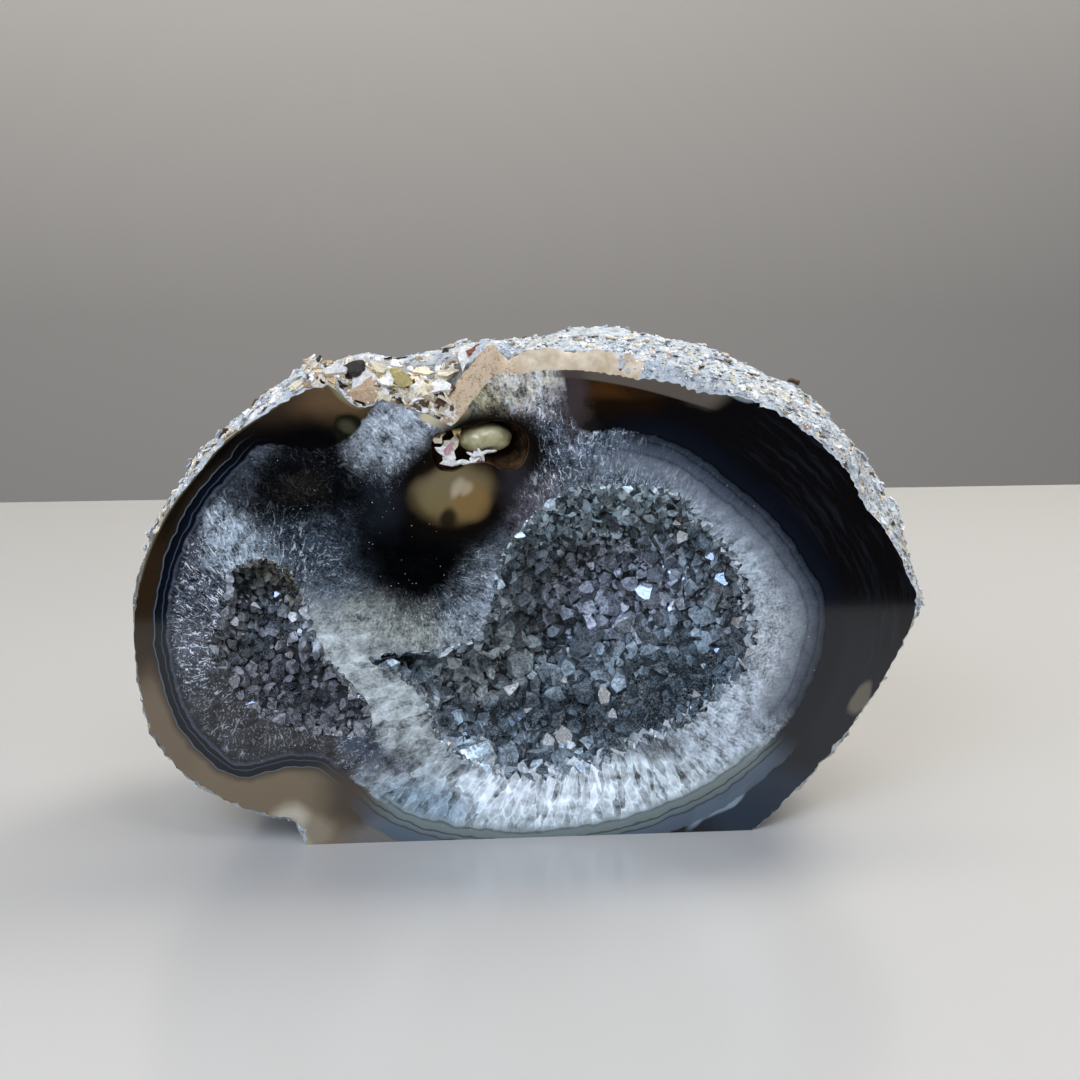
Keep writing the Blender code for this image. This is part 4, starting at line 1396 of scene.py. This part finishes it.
teeth = {
    "seed": 41,
    # depth of each row behind the face, and its share of the size
    "rows": ((0.9, 0.9), (2.1, 1.1), (3.6, 1.25)),
    # angle in degrees, radius of a point
    "sizes": ((0, 0.8), (25, 1.15), (50, 1.0), (75, 0.7), (110, 0.55), (150, 0.45), (190, 0.45), (225, 0.75),
              (260, 1.1), (300, 1.05), (335, 0.8)),
    # x, depth, z, way it points, radius
    "large": (((7.4, 2.8, 10.6), (0.0, -0.1, 1.0), 2.3), ((37.4, 2.0, 46.0), (-0.6, -0.55, 0.35), 1.9),
              ((13.0, 3.4, 12.6), (0.1, 0.1, 1.0), 1.7), ((21.5, 3.2, 15.6), (-0.2, 0.1, 1.0), 1.6),
              ((-13.5, 3.0, 13.4), (0.5, -0.2, 0.8), 1.6)),
}


def buildTeeth(templates, made):
    hollow = hollows["main"]
    outline = Outline(hollow["mouth"])
    draw = random.Random(teeth["seed"])
    cluster = Cluster(templates)
    for depth, coarse in teeth["rows"]:
        wait = 0.0
        for i, spot in enumerate(outline.curve):
            ahead = outline.curve[(i + 1) % len(outline.curve)]
            wait -= (ahead - spot).length
            if wait > 0:
                continue
            degrees = degreesRound(*spot, hollow["middle"])
            radius = around(teeth["sizes"], degrees) * coarse * draw.uniform(0.6, 1.2)
            wait = radius * draw.uniform(1.0, 1.5)
            out = Vector((outline.out[i].x, 0, outline.out[i].y))
            foot = Vector((spot.x, depth + draw.uniform(-0.3, 0.5), spot.y)) + out * radius * 0.3
            lean = anyWay(draw, 0.35)
            cluster.add(draw, foot, lean - out, radius, draw.uniform(0.9, 1.15), 0.0)
    for spot, way, radius in teeth["large"]:
        # their high shade paints the large points' faces brighter
        cluster.add(draw, Vector(spot), Vector(way), radius, 1.0, 0.0, shade=0.7)
    piece = cluster.made("rimTeeth", made)
    keepBehindFace(piece)
    return piece


flakeKinds = {"count": 12, "corners": 9, "thickness": 0.26, "curl": 0.18, "seed": 61}
crumbKinds = {"count": 8, "cuts": 7, "seed": 62}


# thin broken plates, about 1 in radius
def flakeTemplates():
    draw = random.Random(flakeKinds["seed"])
    corners = flakeKinds["corners"]
    templates = []
    for kind in range(flakeKinds["count"]):
        piece = primitive("cylinder", f"crustFlake{kind}", vertices=corners, radius=1.0,
                          depth=flakeKinds["thickness"], end_fill_type="TRIFAN")
        reach = [draw.uniform(0.4, 1.2) for _ in range(corners)]
        lift = [draw.uniform(-flakeKinds["curl"], flakeKinds["curl"]) for _ in range(corners)]
        for vert in piece.data.vertices:
            if vert.co.xy.length > 0.5:
                k = round(math.atan2(vert.co.y, vert.co.x) / math.tau * corners) % corners
                vert.co = (vert.co.x * reach[k], vert.co.y * reach[k], vert.co.z + lift[k])
        templates.append(meshOf(piece))
    return templates


# angular crumbs: a ball cut down by slanting planes
def crumbTemplates(subdivisions, count, roughness):
    draw = random.Random(crumbKinds["seed"] + subdivisions)
    templates = []
    for kind in range(count):
        piece = primitive("ico_sphere", f"crustCrumb{kind}", subdivisions=subdivisions, radius=1.0)
        for vert in piece.data.vertices:
            vert.co *= 1 + roughness * noise.noise(vert.co * 1.7 + Vector((kind * 5.1, 0, 0)))
        bpy.ops.object.mode_set(mode="EDIT")
        for _ in range(crumbKinds["cuts"]):
            outward = anyWay(draw).normalized()
            bpy.ops.mesh.select_all(action="SELECT")
            bpy.ops.mesh.bisect(plane_co=outward * draw.uniform(0.45, 0.85), plane_no=outward, use_fill=True,
                                clear_outer=True)
        bpy.ops.mesh.select_all(action="SELECT")
        bpy.ops.mesh.quads_convert_to_tris()
        bpy.ops.mesh.normals_make_consistent(inside=False)
        bpy.ops.object.mode_set(mode="OBJECT")
        templates.append(meshOf(piece))
    return templates


def crustShade(draw, colour):
    k = list(crustColours).index(colour)
    return (k + draw.uniform(0.05, 0.95)) / len(crustColours)


crust = {
    "seed": 71,
    # how many, lowest and highest angle, nearest and farthest depth, lowest and highest radius
    "flakes": ((1700, -4, 98, 0.4, 11, 0.2, 0.85), (340, 118, 170, 0.4, 9, 0.35, 1.5),
               (900, -30, 210, 8, 36, 0.4, 1.4), (420, -40, 220, 30, 60, 0.6, 1.9),
               (160, 180, 238, 0.6, 20, 0.3, 0.9), (120, 302, 358, 0.6, 20, 0.3, 0.9)),
    "crumbs": ((260, -4, 98, 0.4, 8, 0.14, 0.4), (120, 118, 178, 0.4, 8, 0.12, 0.35),
               (120, -30, 210, 8, 40, 0.2, 0.7)),
    "flatness": 0.22, "tumble": 0.8,  # how far a flake and a crumb tip
    "bareAngles": (71, 100), "bareDepth": 2.4,  # no flakes on the ground strip along the top
    "clearOfBase": 1.5,
    "rightAngles": (-60, 100, 300),  # the right side's colours hold between the first two and past the third
    # colours by share: upper right, then left
    "right": (("blueGrey", 0.46), ("white", 0.27), ("cream", 0.17), ("tan", 0.06), ("brown", 0.025),
              ("black", 0.01), ("rust", 0.005)),
    "left": (("white", 0.52), ("cream", 0.24), ("blueGrey", 0.14), ("tan", 0.05), ("brown", 0.03),
             ("black", 0.02)),
    "notch": (("cream", 0.34), ("white", 0.34), ("beige", 0.12), ("brown", 0.09), ("black", 0.07),
              ("yellow", 0.04)),
}


def drawnColour(draw, shares):
    left = draw.random()
    for colour, share in shares:
        left -= share
        if left <= 0:
            return colour
    return shares[0][0]


# a spot on the rind with its outward direction
def onRind(spotAt, turn, y):
    turns = nodule["turns"]
    spot = spotAt(turn, y)[0]
    ahead, deeper = spotAt((turn + 3) % turns, y)[0], spotAt(turn, y + 0.5)[0]
    out = (ahead - spot).cross(deeper - spot)
    heart = Vector((0, nodule["depth"] / 2, 40))
    out = out if out.dot(spot - heart) > 0 else -out
    return spot, out.normalized() if out.length > 1e-9 else (spot - heart).normalized()


# whether a flake would pass the box at a side or at the top
def nearBox(spot, radius):
    low, high = (Vector(corner) for corner in cadBox)
    at, room = place(*spot), radius * millimetre
    return at.x - room < low.x or at.x + room > high.x or at.z + 0.5 * room > high.z


def buildCrust(made):
    draw = random.Random(crust["seed"])
    spotAt = noduleSurface()
    turns = nodule["turns"]
    (low, high), (rightFrom, rightTo, rightAgain) = crust["bareAngles"], crust["rightAngles"]
    plates, crumbs = Cluster(flakeTemplates()), Cluster(crumbTemplates(2, crumbKinds["count"], 0.3))
    for cluster, rows, flat in ((plates, crust["flakes"], True), (crumbs, crust["crumbs"], False)):
        for count, lowAngle, highAngle, nearY, farY, small, large in rows:
            for _ in range(count):
                degrees = draw.uniform(lowAngle, highAngle)
                y = nearY + (farY - nearY) * draw.random() ** 1.4
                radius = small + (large - small) * draw.random() ** 2
                spot, out = onRind(spotAt, int(turns * degrees / 360) % turns, y)
                if spot.z < crust["clearOfBase"] or (low < degrees < high and y < crust["bareDepth"]):
                    continue
                tilt = anyWay(draw) * (crust["flatness"] if flat else crust["tumble"])
                onRight = rightFrom < degrees < rightTo or degrees > rightAgain
                colour = drawnColour(draw, crust["right" if onRight else "left"])
                if nearBox(spot, radius):
                    continue
                cluster.add(draw, spot + out * 0.05, out + tilt, radius, 1.0, 0.0 if flat else 0.3 * radius,
                            shade=crustShade(draw, colour), vary=0.0)
    piece = joined([plates.made("rindFlakes", made), crumbs.made("rindCrumbs", made)], "rindFlakes")
    keepInBox(piece)
    return piece


def keepInBox(piece, behind=0.15):
    keepBehindFace(piece, behind)
    for vert in piece.data.vertices:
        vert.co = clampedIn(vert.co)
        vert.co.z = max(vert.co.z, 0.00002)


notchBits = {
    "seed": 81,
    # spot, radius, colour: angular bits of broken skin in and round the notch
    "rocks": (
        ((-18.0, 2.4, 76.8), 2.2, "cream"), ((-21.4, 3.4, 79.4), 1.9, "yellow"),
        ((-14.9, 2.0, 75.6), 1.2, "brown"), ((-16.6, 1.8, 74.5), 1.2, "cream"),
        ((-29.0, 3.6, 80.9), 1.9, "black"), ((-12.8, 2.4, 77.8), 1.1, "brown"),
    ),
    # spot, way it faces, radius, narrowing, colour: plates seen flat on
    "plates": (
        ((-26.6, 1.5, 78.5), (-0.1, -0.8, 0.5), 4.7, 0.75, "white"),
        ((-26.8, 0.8, 78.1), (-0.1, -0.8, 0.5), 3.8, 0.75, "beige"),
        ((-14.2, 0.9, 67.6), (0.2, -0.9, 0.2), 2.6, 0.55, "white"),
        ((-14.0, 0.6, 68.1), (0.2, -0.9, 0.3), 1.5, 0.5, "pink"),
        ((-13.6, 0.7, 66.0), (0.1, -0.9, 0.3), 1.6, 0.5, "white"),
        ((-15.6, 0.8, 70.4), (0.1, -0.9, 0.3), 1.9, 0.8, "cream"),
        ((-15.5, 0.6, 70.5), (0.1, -0.9, 0.2), 1.1, 0.8, "brown"),
        ((-12.4, 0.9, 71.2), (0.3, -0.8, 0.4), 1.5, 0.6, "yellow"),
        ((-11.9, 0.6, 70.2), (0.3, -0.8, 0.3), 0.8, 0.5, "rust"),
        ((-9.2, 1.3, 66.5), (0.0, -0.9, 0.4), 1.8, 0.7, "white"),
        ((-13.0, 1.3, 69.0), (0.1, -0.9, 0.3), 1.7, 0.7, "cream"),
        ((-15.2, 2.6, 78.2), (-0.3, -0.6, 0.7), 2.6, 0.6, "white"),
        ((-13.2, 3.6, 80.4), (0.2, -0.6, 0.8), 2.4, 0.5, "cream"),
        ((-11.0, 4.4, 82.3), (-0.2, -0.6, 0.8), 2.6, 0.6, "white"),
        ((-9.0, 4.8, 84.0), (0.0, -0.7, 0.7), 1.9, 0.6, "rust"),
        ((-23.6, 2.2, 79.6), (0.3, -0.6, 0.7), 2.3, 0.7, "white"),
        ((-19.8, 1.4, 75.6), (0.0, -0.8, 0.6), 1.8, 0.5, "beige"),
        ((-24.8, 3.2, 81.2), (-0.2, -0.5, 0.9), 2.2, 0.6, "cream"),
        ((-32.2, 2.4, 81.2), (-0.3, -0.6, 0.8), 2.6, 0.5, "white"),
        ((-35.6, 1.6, 80.2), (-0.3, -0.7, 0.7), 2.4, 0.4, "blueGrey"),
        ((-17.4, 5.0, 80.4), (0.1, -0.5, 0.9), 2.3, 0.6, "cream"),
        ((-18.6, 1.8, 78.6), (0.4, -0.6, 0.6), 1.9, 0.5, "white"),
        ((-6.8, 5.5, 84.4), (0.1, -0.6, 0.8), 1.7, 0.6, "white"),
    ),
    # pale twisted bits under the core: points along each, thickness
    "threads": (
        (((-13.4, 1.2, 65.2), (-11.6, 0.8, 65.9), (-9.9, 0.7, 65.5), (-8.2, 1.0, 66.9)), 0.42),
        (((-10.8, 1.1, 67.5), (-9.4, 0.7, 66.9), (-7.4, 0.7, 67.6), (-5.6, 0.9, 67.7)), 0.3),
        (((-8.9, 1.0, 68.2), (-8.2, 0.7, 67.0), (-7.8, 0.9, 65.8)), 0.28),
    ),
    "crumbs": {"count": 620, "angles": (110, 132), "nearY": 0.3, "reachY": 15.0, "radius": (0.3, 1.3),
               "roundShare": 0.25},
    "core": {"middle": (-7.7, 3.4, 69.5), "size": (4.7, 3.0, 2.6), "dent": 0.3, "bumps": 0.09},
}


def threadTube(name, path, thickness, sides=8):
    knots = [Vector(p) for p in path]
    steps = 6 * (len(knots) - 1)

    def spotAt(column, row):
        share = row / steps * (len(knots) - 1)
        k = min(int(share), len(knots) - 2)
        spot = knots[k].lerp(knots[k + 1], share - k)
        wide = thickness * math.sin(math.pi * min(max(row / steps, 0.0), 1.0)) ** 0.4
        angle = math.tau * column / sides
        along = (knots[k + 1] - knots[k]).normalized()
        side = along.orthogonal().normalized()
        up = along.cross(side)
        rough = 1 + 0.5 * lumps(spot + side * column, 0.9, 4.0)
        return place(*(spot + (side * math.cos(angle) + up * math.sin(angle)) * wide * rough))

    return merged(shapedGrid(name, sides, steps, spotAt))


def buildNotch(made):
    draw = random.Random(notchBits["seed"])
    spotAt = noduleSurface()
    turns = nodule["turns"]
    rocks, plates = Cluster(crumbTemplates(4, 6, 0.45)), Cluster(flakeTemplates())
    small = Cluster(crumbTemplates(2, crumbKinds["count"], 0.3))
    for spot, radius, colour in notchBits["rocks"]:
        way = anyWay(draw)
        rocks.add(draw, Vector(spot), way, radius, draw.uniform(0.8, 1.3), 0.0,
                  shade=crustShade(draw, colour), vary=0.0)
    for spot, way, radius, narrow, colour in notchBits["plates"]:
        plates.add(draw, Vector(spot), Vector(way), radius, 0.7, 0.0, squash=narrow,
                   shade=crustShade(draw, colour), vary=0.0)
    loose = notchBits["crumbs"]
    for _ in range(loose["count"]):
        degrees, y = draw.uniform(*loose["angles"]), loose["nearY"] + loose["reachY"] * draw.random() ** 1.2
        radius = draw.uniform(*loose["radius"])
        spot, out = onRind(spotAt, int(turns * degrees / 360) % turns, y)
        tilt = anyWay(draw) * crust["tumble"]
        cluster, wide = (small, 0.5) if draw.random() < loose["roundShare"] else (plates, 1.3)
        cluster.add(draw, spot, out + tilt, wide * radius, 1.0, 0.0,
                    shade=crustShade(draw, drawnColour(draw, crust["notch"])), vary=0.0)
    bits = [rocks.made("notchRocks", made), plates.made("notchPlates", made), small.made("notchCrumbs", made)]
    for k, (path, thickness) in enumerate(notchBits["threads"]):
        thread = threadTube(f"paleThread{k}", path, thickness)
        shadeFaces(thread, [crustShade(draw, "white")] * len(thread.data.polygons))
        clad(thread, made)
        bits.append(thread)
    piece = joined(bits, "notchCrust")
    keepInBox(piece)
    return piece


# the kidney-shaped core in the pit
def buildCore(made):
    settings = notchBits["core"]
    (x, y, z), (wide, deep, tall) = settings["middle"], settings["size"]
    core = primitive("ico_sphere", "waxyCore", subdivisions=5, radius=1.0)
    for vert in core.data.vertices:
        p = vert.co.copy()
        kidney = 1 - settings["dent"] * smoothShare(-p.z, 0.1, 1.0) * (1 - smoothShare(abs(p.x - 0.1), 0.0, 0.5))
        bump = 1 + settings["bumps"] * noise.noise(p * 1.6 + Vector((3, 1, 7)))
        vert.co = place(x + wide * p.x * bump, y + deep * p.y * bump, z + tall * p.z * bump * kidney)
    clad(core, made)
    keepInBox(core)
    choose(core)
    bpy.ops.object.shade_smooth()
    return core


# stage, light and camera
stage = {"floorHex": "#b5b3af", "floorFarHex": "#b9b8b4", "wallLowHex": "#bab6b0", "wallHighHex": "#ebe6dd",
         "floorWidth": 3.0, "frontY": -0.189, "backY": 0.29, "wallY": 0.95, "wallZ": 0.4, "wallSize": (5.0, 2.4)}


def buildStage():
    floor = primitive("plane", "floor", size=1.0)
    floor.scale = (stage["floorWidth"], stage["backY"] - stage["frontY"], 1.0)
    floor.location = (0, (stage["backY"] + stage["frontY"]) / 2, 0)
    settle(floor)
    made, add, sketch = startMaterial("paleLacquerFloor")
    cloud = add("TexNoise", {"Scale": 0.004, "Detail": 1.0, "Vector": sketch})  # clouds 250 mm wide
    colour = add("ValToRGB", {"Fac": cloud}, stops=((0.0, stage["floorHex"]), (1.0, stage["floorFarHex"])))
    clad(floor, surfaced(made, {"Base Color": colour, "Roughness": 0.22}))
    wall = primitive("plane", "wall", size=1.0)
    wall.scale = (*stage["wallSize"], 1.0)
    wall.rotation_euler = (math.radians(90), 0, 0)
    wall.location = (0, stage["wallY"], stage["wallZ"])
    settle(wall)
    made, add, sketch = startMaterial("greyPaintedWall")
    share = add("MapRange", (add("SeparateXYZ", (sketch,)).outputs["Z"], 0.0, 300.0))
    colour = add("ValToRGB", {"Fac": share}, stops=((0.0, stage["wallLowHex"]), (1.0, stage["wallHighHex"])))
    clad(wall, surfaced(made, {"Base Color": colour, "Roughness": 0.9}))


lamps = {
    # name: place in metres, aim, size, watts, colour
    "keySoftbox": ((0.34, 0.22, 0.52), (0, 0, 0.05), (0.25, 0.25), 2.5, "#fbf8f2"),
    "frontSoftbox": ((-0.35, -0.62, 0.55), (0, -0.03, 0.04), (0.5, 0.4), 4.0, "#f1f5fc"),
    "rightSoftbox": ((0.75, -0.25, 0.35), (0, 0, 0.04), (0.4, 0.4), 1.2, "#f3f5ff"),
    "glintLamp": ((-0.22, -0.5, 0.42), (0, 0, 0.04), (0.1, 0.1), 0.55, "#86b6ff"),
    "whiteGlintLamp": ((0.12, -0.45, 0.62), (0, 0, 0.04), (0.2, 0.2), 0.9, "#eef4ff"),
    "leftGlintLamp": ((-0.62, -0.22, 0.28), (0, 0, 0.04), (0.2, 0.2), 0.8, "#dde8ff"),
    "warmGlintLamp": ((0.3, -0.35, 0.45), (0, 0, 0.04), (0.05, 0.05), 0.14, "#ffdcc0"),
    "wallSoftbox": ((0, 0.35, 1.2), (0, 0.95, 0.1), (1.6, 0.3), 8.2, "#fff8ee"),
}


def aimed(thing, target):
    thing.rotation_euler = (Vector(target) - thing.location).to_track_quat("-Z", "Y").to_euler()


def buildLights():
    for name, (where, aim, size, watts, colour) in lamps.items():
        light = bpy.data.lights.new(name, "AREA")
        light.shape = "RECTANGLE"
        light.size, light.size_y = size
        light.energy = watts
        light.color = linear(colour)[:3]
        lamp = bpy.data.objects.new(name, light)
        bpy.context.scene.collection.objects.link(lamp)
        lamp.location = where
        aimed(lamp, aim)
    world = bpy.data.worlds.new("studio")
    bpy.context.scene.world = world
    world.use_nodes = True
    tree = world.node_tree
    tree.nodes.clear()
    way = addNode(tree, "TexCoord").outputs["Generated"]
    up = addNode(tree, "SeparateXYZ", (way,)).outputs["Z"]
    sky = addNode(tree, "ValToRGB", {"Fac": up}, stops=((0.0, "#2b2a29"), (0.6, "#b9bec6")))
    addNode(tree, "OutputWorld", {"Surface": addNode(tree, "Background", {"Color": sky, "Strength": 0.55})})
    bpy.context.scene.view_settings.view_transform = "Standard"


cameraAt, cameraAim = (-26.786, -309.772, 118.704), (1.3885, 0.0, 52.588)
cameraLens, cameraSensor, cameraNear = 63.33, 36.0, 0.01


def buildCamera():
    data = bpy.data.cameras.new("camera")
    data.lens, data.sensor_width, data.clip_start = cameraLens, cameraSensor, cameraNear
    camera = bpy.data.objects.new("camera", data)
    bpy.context.scene.collection.objects.link(camera)
    camera.location = place(*cameraAt)
    aimed(camera, place(*cameraAim))
    bpy.context.scene.camera = camera


# making the geode
def dressed(piece, slotName, *nodes):
    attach(piece, "root")
    if nodes:
        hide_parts(*nodes)
    print(f"{piece.name}: {len(piece.data.polygons)} faces")


buildCamera()
buildStage()
buildLights()
print("stage, lights and camera are set")

stoneMaterials = dict(zip(skins, (
    polishedAgate(), groundEdgeStone(), naturalRind(), sawnStone(), hollowQuartz(), chestnutPit())))
dressed(buildStone(), "polished_agate", "agate_stone")

templates = crystalTemplates()
foot = crustFoot()
for which, base, clouds in (("main", "#7b8890", mainClouds), ("side", "#6b6c6d", sideClouds)):
    made = smokyQuartz(f"smokyQuartz{which.title()}", base, clouds)
    dressed(buildDruse(which, f"{which}Druse", templates, made, foot), "smoky_quartz", f"{which}_crystal_crust")
dressed(buildTeeth(templates, clearQuartz()), "smoky_quartz")

crustMade = crustFlakes()
for bit in (buildCrust(crustMade), buildNotch(crustMade), buildCore(waxyCore())):
    dressed(bit, "polished_agate")
